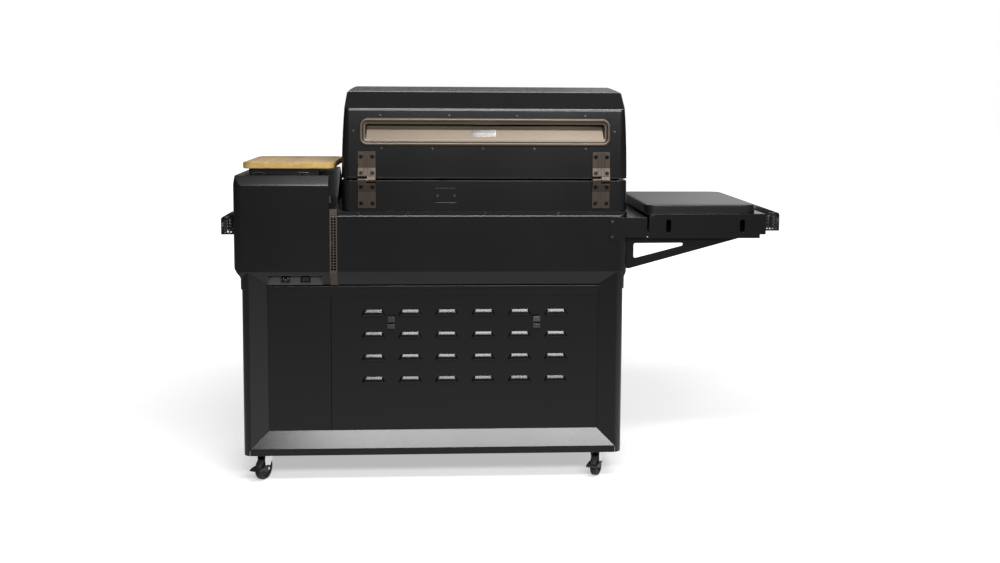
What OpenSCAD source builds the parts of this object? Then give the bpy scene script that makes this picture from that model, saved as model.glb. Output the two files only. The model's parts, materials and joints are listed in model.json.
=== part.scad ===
// Pellet smoker grill: a cabinet cart on casters carries a shallow body with a lidded cooking
// barrel, a pellet hopper at one end and a folded sheet side shelf with a cooktop at the other.
// Front is -Y, the hopper is at +X, up is +Z. The origin is on the floor below the middle.

/* [Cart] */
// Width over the corner posts
cart_w = 1220; // [1210:1:1230]
// Depth between the front and rear ridges of the posts
cart_d = 560; // [556:1:564]
// Height of the bottom edge of the cart above the floor
cart_bottom = 93.6; // [92:0.2:96]
// Height of the top edge of the cart
cart_top = 641; // [638:1:643]
// Visible width of the sloped frame round the front and the rear
frame_w = 53.8; // [50:0.2:56]
// Depth of that slope
frame_in = 25; // [22:1:28]
// Number of louvres in a row
louvre_cols = 6; // [3:1:6]
// Number of rows of louvres
louvre_rows = 4; // [2:1:4]

/* [Body] */
// Half depth of the body
body_y = 284; // [282:1:286]
// Height of the underside of the body
body_bottom = 645; // [644:1:648]
// Height of the deck that the barrel stands on
deck_z = 883; // [878:1:888]
// Radius of the upright corners
corner_r = 28; // [24:1:32]
// Height of the flat top of the hopper
hopper_top = 997; // [992:1:1000]
// Slope of the console on the front of the hopper, in degrees
console_tilt = 34.5; // [30:0.5:38]

/* [Barrel and lid] */
// Width of the barrel and the lid
barrel_w = 914; // [904:1:918]
// Half depth of the barrel and the lid
barrel_y = 265; // [262:1:268]
// Height of the joint between the barrel and the lid
rim_z = 980; // [976:1:984]
// Height of the top of the lid
lid_top = 1278; // [1268:1:1286]
// Height of the crease across the back of the lid
lid_crease = 1207; // [1202:1:1212]
// Width of the exhaust surround
exhaust_w = 799; // [760:1:805]
// Height of the exhaust surround
exhaust_h = 89; // [85:1:92]
// Length of the lid handle
handle_l = 720; // [600:5:780]

/* [Side shelf] */
// Distance from the cart's centre to the far end of the shelf tray
shelf_end = 1069; // [1060:1:1080]
// Height of the top of the shelf tray
shelf_z = 875; // [872:1:878]
// Height of the cooktop cover
cover_h = 28; // [24:1:32]

/* [Casters] */
// Radius of the wheels
wheel_r = 37.5; // [35:0.5:38]
// Width of the wheels
wheel_w = 22; // [18:1:24]
// Angle at which the casters stand, in degrees
caster_turn = 25; // [0:5:40]

/* [Hidden] */
$fn = 48;

// Colours
black_paint = [0.10, 0.10, 0.11];
bronze = [0.55, 0.50, 0.44];
zinc = [0.72, 0.73, 0.75];
bare_steel = [0.62, 0.62, 0.63];
enamel = [0.07, 0.07, 0.08];
bamboo = [0.80, 0.66, 0.42];

// Sheet thickness, the clearance of a running pin and the gap round a part that moves
sheet = 2;
fit = 0.05;
gap = 0.4;

// The cart's centre line in the part's own frame, from the two ends and the front and rear
rail_x = 676;
shelf_rail_x = 1120;
handle_y = 347;
rear_y = 288;
cart_x = (shelf_rail_x - rail_x) / 2;
cart_y = (handle_y - rear_y) / 2;

// Cart: the ridge of a post, the foot of its mitre, the recess of the panels and the sloped rails
post_r = 25.4;
ridge_x = cart_w / 2 - post_r;
mitre_x = ridge_x + 4;
ridge_y = cart_d / 2;
recess_x = ridge_x - frame_w;
recess_y = ridge_y - frame_in;
lip_h = 21.3;
sill_z = cart_bottom + lip_h + 54.6;
rail_h = 31;
head_z = cart_top - rail_h;
return_w = 23;
post_side = 30;
seam_x = 330;
panel_gap = 1.6;
louvre_pitch = [117.8, 73.6];
louvre_x = 195;
louvre_z = 564;
hook_x = [137, -330];
hook_z = 523;
pan_t = 3;
pan_z = cart_bottom + 2.4;
cap_t = 4;

// Body: the bevel under it, the split between the body and the hopper, and the ends
bevel_in = 25;
bevel_h = 43;
body_x0 = -620;
body_x1 = 633;
split_x = 331;
deck_bevel = 14;
bevel_top = body_bottom + bevel_h;
end_slope = [[body_x1, bevel_top + 12], [body_x1 - 19, bevel_top - 12], [body_x1 - 27, body_bottom]];
vent_x = [307, 327];
vent_z = [695, 866];
inlet_x = [353, 528];
inlet_z = 680;
socket_x = [457, 487];
outlet_x = [392, 426];
socket_z = [651, 677.5];
fan_at = [470, -160];
console_y = -150;
console_z = hopper_top - (body_y + console_y) * tan(console_tilt);

// Barrel and lid
barrel_x = -163;
tub_in = 22;
tub_x = barrel_w / 2 - tub_in;
tub_y = barrel_y - tub_in;
tub_z = 700;
chute_r = 42;
auger_z = 740;
auger_end = 560;
tube_r = 34;
shaft_r = 8;
keg_z = 430;
lid_z = rim_z + 7;
lid_wall = 2.5;
exhaust_z = 1134.5;
hinge_x = [212.5, -533];
hinge_w = 56;
hinge_y = barrel_y + 7.5;
hinge_z = rim_z + 2;
knuckle_r = 7;
pin_r = 3;
bolt_dx = 18;
grate_z = 905;

// Hopper lid
board = [288, 365, 20];
board_x = 461;
board_y = 255;
tray_x = [362, 586];
tray_y = [-100, 243];
small_hinge_y = tray_y[1] + 4.5;
small_hinge_z = hopper_top + 6;
small_hinge_x = [552, 412];
small_pin_r = 2;
tray_h = 19;

// Side shelf
shelf_start = 689;
apron_y = 280;
apron_z = shelf_z - 79;
cover_x = [-1043, -681];
cover_y = [-235, 265];
rail_z = 862;

// Doors and their upright pins
door_t = 21;
door_gap = 4.3;
door_x = recess_x - door_gap;
door_y = recess_y - 1;
door_z = [sill_z + 3, head_z - 3];
door_pin = [door_x - 8, -(door_y - 7)];
meeting_gap = 1.5;

// Casters
caster_xy = [545, 204];
trail = 22;
axle_r = 4;
stem_r = 5;
stem_h = 16;

// Points along an arc, and a rectangle with round corners
function arc(c, r, a0, a1, n = 6) =
    [for (i = [0:n]) c + r * [cos(a0 + (a1 - a0) * i / n), sin(a0 + (a1 - a0) * i / n)]];
function rounded(w, h, r, n = 6) = concat(
    arc([w / 2 - r, h / 2 - r], r, 0, 90, n),
    arc([r - w / 2, h / 2 - r], r, 90, 180, n),
    arc([r - w / 2, r - h / 2], r, 180, 270, n),
    arc([w / 2 - r, r - h / 2], r, 270, 360, n));
function mirrored(p) = concat(p, [for (i = [len(p) - 1:-1:0]) [-p[i][0], p[i][1]]]);

// Stands what is drawn round the cart's centre at its place in the part's frame
module place() {
    translate([cart_x, cart_y, 0]) children();
}

// Draws an outline in Y and Z from one X to another
module along_x(x0, x1) {
    translate([x0, 0, 0]) rotate([90, 0, 90]) linear_extrude(x1 - x0) children();
}

// Draws an outline in X and Z from one Y to another
module along_y(y0, y1) {
    translate([0, y1, 0]) rotate([90, 0, 0]) linear_extrude(y1 - y0) children();
}

// Draws an outline in X and Y from one Z to another
module upright(z0, z1) {
    translate([0, 0, z0]) linear_extrude(z1 - z0) children();
}

module block(low, high) {
    translate(low) cube(high - low);
}

module rod(r, from, to) {
    d = to - from;
    translate(from)
        rotate([0, acos(d[2] / norm(d)), atan2(d[1], d[0])])
            cylinder(r = r, h = norm(d));
}

// Repeats what is drawn for the corner at +X and +Y at all four corners
module four_corners() {
    for (mx = [0, 1], my = [0, 1])
        mirror([mx, 0, 0]) mirror([0, my, 0]) children();
}

module front_and_rear() {
    for (my = [0, 1]) mirror([0, my, 0]) children();
}

// ---------------------------------------------------------------- cart

function slope_y(x, off) =
    recess_y + off * norm([frame_w, frame_in]) / frame_w + (x - recess_x) * frame_in / frame_w;

// The outside of a corner post in plan, standing off its face by off
function post_outline(off) = concat(
    [[recess_x, recess_y - return_w]],
    [[recess_x, slope_y(recess_x, off)]],
    arc([ridge_x, ridge_y - post_r], post_r + off, 88, 0),
    [[cart_w / 2 + off, ridge_y - post_r - post_side]]);

// What a post leaves to the rails: the mitre at its foot
module mitre_cut(clear) {
    along_y(recess_y - return_w - 1, ridge_y + 1)
        polygon([
            [0, cart_bottom - 1],
            [mitre_x + clear, cart_bottom - 1],
            [mitre_x + clear, cart_bottom + lip_h + clear],
            [recess_x, sill_z + clear],
            [0, sill_z + clear]]);
}

module corner_posts() {
    color(black_paint) place() four_corners() difference() {
        upright(cart_bottom, cart_top)
            difference() {
                polygon(post_outline(0));
                polygon(concat(
                    [[recess_x + sheet, recess_y - return_w - 1]],
                    [[recess_x + sheet, slope_y(recess_x + sheet, -sheet)]],
                    arc([ridge_x, ridge_y - post_r], post_r - sheet, 88, 0),
                    [[cart_w / 2 - sheet, ridge_y - post_r - post_side + sheet]],
                    [[cart_w / 2 - 3 * sheet, ridge_y - post_r - post_side + sheet]],
                    [[cart_w / 2 - 3 * sheet, ridge_y - post_r - post_side - 1]]));
            }
        mitre_cut(gap);
    }
}

// The sloped sills and the flat heads, with the side rails that tie them together
module frame_rails() {
    sill = [
        [ridge_y, cart_bottom], [ridge_y, cart_bottom + lip_h], [recess_y, sill_z],
        [recess_y - return_w, sill_z], [recess_y - return_w, sill_z - sheet],
        [recess_y - sheet / 2, sill_z - sheet], [ridge_y - sheet, cart_bottom + lip_h - sheet / 4],
        [ridge_y - sheet, cart_bottom]];
    head = [
        [recess_y - return_w, cart_top], [recess_y + 3, cart_top], [recess_y + 3, head_z],
        [recess_y - return_w, head_z], [recess_y - return_w, head_z + sheet],
        [recess_y + 1, head_z + sheet], [recess_y + 1, cart_top - sheet],
        [recess_y - return_w, cart_top - sheet]];
    color(black_paint) place() front_and_rear() {
        intersection() {
            along_x(-mitre_x, mitre_x) polygon(sill);
            along_y(0, ridge_y + 1)
                polygon(mirrored([[mitre_x - gap, 0], [mitre_x - gap, cart_bottom + lip_h],
                    [recess_x - 1, sill_z + 0.5]]));
        }
        along_x(-recess_x, recess_x) polygon(head);
    }
}

// The floor of the cabinet, with a threaded boss for the stem of each caster
module base_pan() {
    side = cart_w / 2 - 3 * sheet;
    color(black_paint) place() difference() {
        union() {
            block([-recess_x, sheet - ridge_y, pan_z], [recess_x, ridge_y - sheet, pan_z + pan_t]);
            block([-side, recess_x - side - 160, pan_z], [side, side - recess_x + 160, pan_z + pan_t]);
            four_corners()
                translate([caster_xy[0] - 20, caster_xy[1] - 20, pan_z])
                    cube([40, 40, stem_h + 2]);
        }
        four_corners()
            translate([caster_xy[0], caster_xy[1], pan_z - 1])
                cylinder(r = stem_r + fit, h = stem_h + 1);
        for (x = [-4.5:1:4.5])
            translate([x * 90, 0, pan_z - 1]) cylinder(r = 6, h = pan_t + 2);
    }
}

// A plain side with a shallow pressed panel
module side_panels() {
    x1 = cart_w / 2 - sheet;
    y1 = ridge_y - post_r - post_side;
    color(black_paint) place() for (mx = [0, 1]) mirror([mx, 0, 0]) {
        difference() {
            block([x1 - sheet, -y1, cart_bottom], [x1, y1, cart_top]);
            block([x1 - 0.8, 40 - y1, cart_bottom + 40], [x1 + 1, y1 - 40, cart_top - 40]);
        }
    }
}

// A pressed hood over a slot: narrow at the top, wide and open at the bottom
module louvre(inset) {
    w = 28.5 - inset;
    intersection() {
        along_x(-40, 40)
            polygon([[-3, 2 - inset], [0, 2 - inset], [5.6 - inset, -6.5 - inset], [6.6 - inset, -18],
                [-3, -18]]);
        along_y(-4, 12)
            polygon(mirrored([[w, 2], [w + 2, -4], [w + 10, -18]]));
    }
}

module louvre_grid() {
    for (i = [0:louvre_cols - 1], j = [0:louvre_rows - 1])
        translate([louvre_x - i * louvre_pitch[0], recess_y - 1, louvre_z - j * louvre_pitch[1]])
            children();
}

module rear_panel() {
    y = recess_y - 1;
    color(black_paint) place() {
        difference() {
            union() {
                block([-recess_x, y - sheet, sill_z], [seam_x - panel_gap / 2, y, head_z]);
                louvre_grid() louvre(0);
            }
            louvre_grid() translate([0, 0, -0.1]) louvre(1.5);
        }
        block([seam_x - panel_gap / 2 - sheet, y - 12, sill_z + 5],
            [seam_x - panel_gap / 2, y - sheet, head_z - 5]);
    }
}

module bin_panel() {
    y = recess_y - 1;
    color(black_paint) place() {
        block([seam_x + panel_gap / 2, y - sheet, sill_z], [recess_x, y, head_z]);
        block([seam_x + panel_gap / 2, y - 12, sill_z + 5],
            [seam_x + panel_gap / 2 + sheet, y - sheet, head_z - 5]);
    }
}

// A collar round the head of each post, cut to the bevel under the body
module post_caps() {
    color(black_paint) place() difference() {
        four_corners() difference() {
            upright(head_z - 2, bevel_top)
                polygon(concat(post_outline(cap_t), [[cart_w / 2 - 12, ridge_y - post_r - post_side]],
                    [[recess_x + 12, recess_y - return_w]]));
            upright(head_z - 3, cart_top)
                polygon(concat(post_outline(0), [[cart_w / 2 - 40, ridge_y - post_r - post_side - 1],
                    [recess_x - 1, recess_y - return_w - 1]]));
            along_y(-1, ridge_y + 9)
                polygon([[recess_x - 1, head_z - 3], [cart_w, head_z - 3], [cart_w, cart_top - 3],
                    [ridge_x, cart_top - 9], [recess_x - 1, head_z - 2]]);
        }
        main_solid(0);
        hopper_solid(0);
    }
}

// Two cleats that a mains lead can be wound round, each a pair of folded tabs
module cord_hooks() {
    half = 12;
    color(black_paint) place() for (x = hook_x)
        translate([x, recess_y - 1, hook_z]) {
            along_x(-half, half)
                polygon([[0, 2], [0, 4], [14, 4], [12.5, 19], [15, 19], [17, 4], [17, 2]]);
            along_x(-half, half)
                polygon([[0, -7], [0, -5], [17, -5], [16.5, -19], [14, -19], [14.3, -7]]);
        }
}

// ---------------------------------------------------------------- body and hopper

function main_yz(t) = [
    [body_y - bevel_in - t, body_bottom + t], [body_y - t, bevel_top + t / 2],
    [body_y - t, deck_z - deck_bevel - t / 2], [body_y - deck_bevel - t / 2, deck_z - t]];

function hopper_yz(t) = concat(
    [[body_y - bevel_in - t, body_bottom + t], [body_y - t, bevel_top + t / 2],
    [body_y - t, hopper_top - 32 - t / 4], [body_y - 10 - t, hopper_top - t]],
    [[console_y + t / 3, hopper_top - t], [t - body_y, console_z - t * 0.7]],
    [[t - body_y, bevel_top + t / 2], [bevel_in + t - body_y, body_bottom + t]]);

function body_xz(t) = concat(
    [[-body_x0 - bevel_in - t, body_bottom - 1], [-body_x0 - bevel_in - t, body_bottom + t],
    [-body_x0 - t, bevel_top + t / 2], [-body_x0 - t, 1100], [-body_x1 + 8 + t, 1100]],
    [[-body_x1 + 8 + t, hopper_top], [-body_x1 + t, hopper_top - 32]],
    [for (p = end_slope) [-p[0] + t, p[1] + t / 2]],
    [[-end_slope[2][0] + t, body_bottom - 1]]);

module plan(t) {
    w = body_x1 - body_x0 - 2 * t;
    translate([(body_x0 + body_x1) / 2, 0, 0])
        upright(body_bottom - 1, 1100) polygon(rounded(w, 2 * (body_y - t), corner_r - t));
}

module ends(t) {
    mirror([1, 0, 0]) along_y(-body_y - 1, body_y + 1) polygon(body_xz(t));
}

module main_solid(t, x1 = split_x) {
    intersection() {
        along_x(body_x0 - 1, x1) polygon(mirrored(main_yz(t)));
        plan(t);
        ends(t);
    }
}

module hopper_solid(t, x0 = split_x) {
    intersection() {
        along_x(x0, body_x1 + 1) polygon(hopper_yz(t));
        plan(t);
        ends(t);
    }
}

// The low housing under the barrel, open where the tub hangs through its deck
module body_shell() {
    color(black_paint) place() difference() {
        main_solid(0);
        main_solid(sheet, split_x + 1);
        translate([barrel_x, 0, deck_z - 5])
            linear_extrude(10) square([2 * tub_x + 2, 2 * tub_y + 2], center = true);
        translate([barrel_x, 0, body_bottom - 1]) cylinder(r = chute_r + 0.3, h = 5);
        block([vent_x[0], body_y - 5, vent_z[0]], [vent_x[1], body_y + 5, vent_z[1]]);
    }
}

// The hopper's housing, with the opening under its lid, the pocket of the mains inlets and the
// fan's air inlet in its floor
module hopper_shell() {
    opening = [[383, -92], [564, 217]];
    color(black_paint) place() difference() {
        hopper_solid(0);
        difference() {
            hopper_solid(sheet, split_x - 1);
            block([split_x - 2, -400, deck_z], [split_x + sheet, 400, hopper_top + 5]);
        }
        block([opening[0][0], opening[0][1], hopper_top - 10],
            [opening[1][0], opening[1][1], hopper_top + 10]);
        block([inlet_x[0], body_y - bevel_in - 4, body_bottom - 5],
            [inlet_x[1], body_y + 5, inlet_z]);
        block([376, -180, body_bottom - 1], [420, -120, body_bottom + 5]);
    }
}

// A folded strip with two columns of vent holes over the joint of body and hopper
module vent_strip() {
    t = 4;
    top = deck_z + t + 3;
    pitch = 8.9;
    color(bronze) place() difference() {
        along_x(vent_x[0] - 1.5, vent_x[1] + 2)
            polygon([[body_y - bevel_in, body_bottom], [body_y, bevel_top],
                [body_y, deck_z - deck_bevel], [body_y - deck_bevel, deck_z],
                [body_y - deck_bevel, top], [body_y + t, top],
                [body_y + t, bevel_top - 1], [body_y - bevel_in + t, body_bottom]]);
        for (i = [0:19], dx = [-4.5, 4.5])
            translate([(vent_x[0] + vent_x[1]) / 2 + dx, body_y - 16, vent_z[1] + 2 - i * pitch])
                rotate([-90, 0, 0]) cylinder(r = 3.7, h = 30, $fn = 16);
    }
}

// A folded pocket that carries the mains inlet and the outlet for the cooktop
module inlet_plate() {
    y1 = body_y - bevel_in;
    depth = (inlet_z - body_bottom) * bevel_in / bevel_h;
    color([0.2, 0.2, 0.21]) place() difference() {
        union() {
            block([inlet_x[0], y1 - 4, body_bottom], [inlet_x[1], y1 - 2, inlet_z]);
            block([inlet_x[0], y1 - 4, inlet_z - sheet], [inlet_x[1], y1 + depth - 2, inlet_z]);
            for (x = [inlet_x[0], inlet_x[1] - sheet])
                along_x(x, x + sheet)
                    polygon([[y1 - 3, body_bottom], [y1 - 1, body_bottom],
                        [y1 + depth - 1, inlet_z], [y1 - 3, inlet_z]]);
        }
        for (x = [socket_x, outlet_x])
            block([x[0], y1 - 10, socket_z[0]], [x[1], y1 + 1, socket_z[1]]);
    }
}

// Two black moulded inserts: a three pin inlet and a three slot outlet
module power_sockets() {
    y1 = body_y - bevel_in;
    color(enamel) place() {
        difference() {
            block([socket_x[0], y1 - 32, socket_z[0]], [socket_x[1], y1 + 1, socket_z[1]]);
            block([socket_x[0] + 3, y1 - 18, socket_z[0] + 3],
                [socket_x[1] - 3, y1 + 2, socket_z[1] - 3]);
        }
        for (p = [[465, 666], [472, 661], [479, 666]])
            block([p[0] - 1, y1 - 19, p[1] - 2.5], [p[0] + 1, y1 - 4, p[1] + 2.5]);
        difference() {
            block([outlet_x[0], y1 - 32, socket_z[0]], [outlet_x[1], y1 + 1, socket_z[1]]);
            difference() {
                block([outlet_x[0] + 3, y1 - 18, socket_z[0] + 3],
                    [outlet_x[1] - 3, y1 + 2, socket_z[1] - 3]);
                block([outlet_x[0] + 7, y1 - 19, socket_z[0] + 6],
                    [outlet_x[1] - 7, y1 - 1, socket_z[1] - 6.5]);
            }
            for (p = [[404, 666], [409, 661], [414, 666]])
                block([p[0] - 1.2, y1 - 14, p[1] - 2.8], [p[0] + 1.2, y1 + 3, p[1] + 2.8]);
        }
    }
}

// ---------------------------------------------------------------- barrel

module barrel_plan(inset, r) {
    translate([barrel_x, 0, 0])
        polygon(rounded(barrel_w - 2 * inset, 2 * (barrel_y - inset), r));
}

// The visible ring of the barrel, folded in at the rim to meet the tub
module barrel_ring() {
    color(black_paint) place() difference() {
        upright(deck_z, rim_z) barrel_plan(0, corner_r);
        upright(deck_z - 1, rim_z - lid_wall) barrel_plan(lid_wall, corner_r - lid_wall);
        translate([barrel_x, 0, rim_z - 5])
            linear_extrude(10) square([2 * tub_x, 2 * tub_y], center = true);
    }
}

// The inner tub with its sloping floor, the auger's hole and the chute for ash
module barrel_tub() {
    slope = [[110, tub_z], [tub_y, 860], [tub_y, rim_z]];
    inner = [[110 - sheet / 2, tub_z + sheet], [tub_y - sheet, 860 + sheet / 2],
        [tub_y - sheet, rim_z + 1]];
    x0 = barrel_x - tub_x;
    x1 = barrel_x + tub_x;
    color(enamel) place() difference() {
        union() {
            along_x(x0, x1) polygon(mirrored(slope));
            translate([barrel_x, 0, body_bottom]) cylinder(r = chute_r, h = tub_z - body_bottom + 1);
        }
        along_x(x0 + sheet, x1 - sheet) polygon(mirrored(inner));
        translate([barrel_x, 0, body_bottom - 1])
            cylinder(r = chute_r - sheet, h = tub_z - body_bottom + 8);
        translate([x1 - 10, 0, auger_z]) rotate([0, 90, 0]) cylinder(r = tube_r + 0.3, h = 20);
    }
}

module fire_pot() {
    w = 60;
    color(bare_steel) place() translate([barrel_x, 0, 0]) difference() {
        block([-w, -w, tub_z + sheet], [w, w, 806]);
        block([3 - w, 3 - w, tub_z + sheet + 3], [w - 3, w - 3, 810]);
        for (x = [-36:18:36])
            block([x - 4, -34, tub_z - 5], [x + 4, 34, tub_z + 10]);
        translate([w - 5, 0, auger_z]) rotate([0, 90, 0]) cylinder(r = tube_r - 3, h = 10);
        for (x = [-40:16:40], z = [790, 775])
            translate([x, -w - 1, z]) rotate([-90, 0, 0]) cylinder(r = 3, h = 2 * w + 2, $fn = 16);
    }
}

// The tube that brings pellets from the hopper to the fire pot
module auger_tube() {
    x0 = barrel_x + 60;
    length = auger_end - x0;
    color(bare_steel) place() difference() {
        translate([x0, 0, auger_z]) rotate([0, 90, 0]) cylinder(r = tube_r, h = length);
        translate([x0 - 1, 0, auger_z]) rotate([0, 90, 0]) cylinder(r = tube_r - 3, h = length - 4);
        translate([auger_end - 10, 0, auger_z])
            rotate([0, 90, 0]) cylinder(r = shaft_r + fit, h = 20);
        block([445, -24, auger_z + 10], [505, 24, auger_z + 40]);
    }
}

// The auger: its shaft, which turns in the tube's end, and discs as large as its screw flight
module auger() {
    x0 = barrel_x + 66;
    color(bare_steel) place() translate([0, 0, auger_z]) rotate([0, 90, 0]) {
        translate([0, 0, x0]) cylinder(r = shaft_r, h = auger_end + 28 - x0);
        for (i = [0:12])
            translate([0, 0, x0 + 12 + i * 50]) cylinder(r = 28, h = 3);
    }
}

// The combustion fan: a round housing with a spindle and an open inlet below
module fan_housing() {
    color(enamel) place() translate([fan_at[0], fan_at[1], body_bottom + sheet]) {
        difference() {
            cylinder(r = 56, h = 50);
            translate([0, 0, 2]) cylinder(r = 54, h = 46);
            translate([0, 0, 40]) cylinder(r = 28, h = 20);
            block([-60, 20, 6], [-40, 44, 42]);
        }
        cylinder(r = 4, h = 44);
    }
}

module fan_wheel() {
    color(zinc) place() translate([fan_at[0], fan_at[1], body_bottom + sheet + 4]) difference() {
        union() {
            cylinder(r = 50, h = 2);
            cylinder(r = 9, h = 30);
            for (a = [0:30:330])
                rotate([0, 0, a]) translate([28, -1, 0]) cube([20, 2, 32]);
        }
        translate([0, 0, -1]) cylinder(r = 4 + fit, h = 40);
    }
}

// The pellet bin: straight walls, then a funnel down to the auger
module hopper_bin() {
    x = [385, 562];
    y = [-90, 215];
    mouth = [[446, -20], [504, 20]];
    z = [auger_z + 34, 880, hopper_top];
    color(enamel) place() {
        difference() {
            block([x[0], y[0], z[1]], [x[1], y[1], z[2]]);
            block([x[0] + sheet, y[0] + sheet, z[1] - 1], [x[1] - sheet, y[1] - sheet, z[2] + 1]);
        }
        difference() {
            hull() {
                block([x[0], y[0], z[1] - 0.5], [x[1], y[1], z[1]]);
                block([mouth[0][0], mouth[0][1], z[0]], [mouth[1][0], mouth[1][1], z[0] + 1]);
            }
            hull() {
                block([x[0] + sheet, y[0] + sheet, z[1]], [x[1] - sheet, y[1] - sheet, z[1] + 1]);
                block([mouth[0][0] + sheet, mouth[0][1] + sheet, z[0] - 1],
                    [mouth[1][0] - sheet, mouth[1][1] - sheet, z[0]]);
            }
        }
    }
}

// A sheet with turned-up edges under the grate, which leads fat to the chute
module drip_tray() {
    x0 = barrel_x - tub_x + sheet;
    x1 = barrel_x + tub_x - sheet;
    y1 = tub_y - sheet;
    color(enamel) place() difference() {
        block([x0, -y1, 866], [x1, y1, 880]);
        block([x0 + sheet, sheet - y1, 868], [x1 - sheet, y1 - sheet, 890]);
        block([x0 + 60, y1 - 40, 860], [x0 + 90, y1 - 12, 870]);
    }
}

// A frame filled with bars that run front to back
module grate(x0, x1, y1, z, pitch) {
    bar = 5;
    n = floor((x1 - x0 - 2 * bar) / pitch);
    step = (x1 - x0 - bar) / (n + 1);
    difference() {
        block([x0, -y1, z], [x1, y1, z + 8]);
        block([x0 + bar, bar - y1, z - 1], [x1 - bar, y1 - bar, z + 9]);
    }
    for (i = [1:n]) {
        block([x0 + i * step, bar - y1, z + 3], [x0 + i * step + bar, y1 - bar, z + 8]);
    }
    for (y = [-y1 / 3, y1 / 3])
        block([x0 + bar, y - 3, z], [x1 - bar, y + 3, z + 3]);
}

module lower_grate() {
    inset = tub_x - sheet;
    color(enamel) place()
        grate(barrel_x - inset, barrel_x + inset, tub_y - sheet, grate_z, 21);
}

module upper_grate() {
    x0 = barrel_x - 400;
    x1 = barrel_x + 400;
    color(enamel) place() {
        grate(x0, x1, 150, grate_z + 145, 25);
        for (x = [x0, x1 - 8], y = [-150, 142])
            block([x, y, grate_z + 8], [x + 8, y + 8, grate_z + 145]);
    }
}

// The bucket under the chute that catches ash and fat
module ash_keg() {
    r = 90;
    color(enamel) place() translate([barrel_x, 0, keg_z]) difference() {
        union() {
            cylinder(r = r, h = body_bottom - keg_z);
            translate([0, 0, body_bottom - keg_z - 12]) cylinder(r = r + 8, h = 6);
        }
        translate([0, 0, sheet]) cylinder(r = r - sheet, h = body_bottom);
    }
}

// A small cover with turned edges on the back of the ring
module service_plate() {
    color(black_paint) place() {
        block([-72, barrel_y, 908], [-4, barrel_y + 1.5, 956]);
        for (z = [908, 954.5])
            block([-72, barrel_y, z], [-4, barrel_y + 3, z + 1.5]);
    }
}

// ---------------------------------------------------------------- lid

function lid_half(z, inset) =
    barrel_w / 2 - inset - 18 * pow(max(0, z - lid_z) / (lid_top - lid_z), 1.8);

function lid_xz(inset) =
    let (top = lid_top - inset, r = 22, n = 8)
    concat(
        [[barrel_w / 2 - inset, lid_z - (inset > 0 ? 1 : 0)]],
        [for (i = [0:n]) let (z = lid_z + (top - r - lid_z) * i / n) [lid_half(z, inset), z]],
        arc([lid_half(top - r, inset) - r, top - r], r, 0, 90, 5));

// Back, top and front of the lid from the side
function lid_yz(inset) = [
    [barrel_y - inset, lid_z - (inset > 0 ? 1 : 0)], [barrel_y - inset, lid_crease - inset / 3],
    [barrel_y - 55 - inset / 2, lid_top - 17 - inset], [barrel_y - 235, lid_top - inset],
    [-80, lid_top - inset], [-150 + inset / 2, lid_top - 24 - inset],
    [3 - barrel_y + inset, 1122 - inset / 3], [inset - barrel_y, 1104],
    [inset - barrel_y, lid_z - (inset > 0 ? 1 : 0)]];

module lid_solid(inset) {
    intersection() {
        along_x(-700, 400) polygon(lid_yz(inset));
        translate([barrel_x, 0, 0]) along_y(-300, 300) polygon(mirrored(lid_xz(inset)));
        upright(lid_z - 2, lid_top + 1) barrel_plan(inset, corner_r - inset);
    }
}

module lid_shell() {
    color(black_paint) place() difference() {
        lid_solid(0);
        lid_solid(lid_wall);
        translate([barrel_x, 0, exhaust_z]) along_y(barrel_y - 20, barrel_y + 5)
            polygon(rounded(exhaust_w - 40, exhaust_h - 24, 16));
    }
}

// A drawn surround: a raised bead, a recess with a leaning back and the exhaust slot along its top
module exhaust_surround() {
    w = exhaust_w;
    h = exhaust_h;
    depth = 34;
    color(bronze) place() translate([barrel_x, 0, exhaust_z]) {
        difference() {
            union() {
                along_y(barrel_y, barrel_y + 8) polygon(rounded(w, h, 26));
                along_y(barrel_y - depth, barrel_y) polygon(rounded(w - 40, h - 24, 16));
            }
            along_y(barrel_y - depth - 1, barrel_y + 9) polygon(rounded(w - 56, h - 36, 12));
        }
        along_x(28 - w / 2, w / 2 - 28)
            polygon([[barrel_y + 3, 18 - h / 2], [barrel_y + 1, 20 - h / 2],
                [barrel_y - 26, h / 2 - 30], [barrel_y - 28, h / 2 - 31],
                [barrel_y - 2, 17.5 - h / 2]]);
    }
}

// A blank plate riveted to the leaning back of the exhaust recess
module badge_plate() {
    tilt = atan2(27, exhaust_h - 50);
    color(zinc) place() translate([-158.5, barrel_y - 12.4, exhaust_z - 5])
        rotate([tilt, 0, 0]) {
            along_y(0, 1.5) polygon(rounded(77, 24, 2));
            for (x = [-33, 33])
                translate([x, 1.5, 0]) rotate([-90, 0, 0]) cylinder(r = 2, h = 1, $fn = 16);
        }
}

// One leaf of a lid hinge from the side, above the pin
function leaf_yz() = [
    [barrel_y, 1072], [barrel_y + 4, 1072], [barrel_y + 4, 1020], [barrel_y + 12, 996],
    [barrel_y + 12, 993], [barrel_y + 7, 993], [barrel_y, 1016]];

// The strip that joins a leaf to its knuckle
function strap_yz() = [
    [barrel_y + 7, 993], [barrel_y + 12, 993], [hinge_y + knuckle_r, hinge_z],
    [hinge_y + 3.5, hinge_z]];

// What lies outside a leaf's face, sunk into it by depth
function leaf_outside(depth) = [
    [barrel_y + 4 - depth, 1073], [barrel_y + 4 - depth, 1020], [barrel_y + 12 - depth, 996],
    [barrel_y + 12 - depth, 992], [barrel_y + 20, 992], [barrel_y + 20, 1073]];

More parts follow.
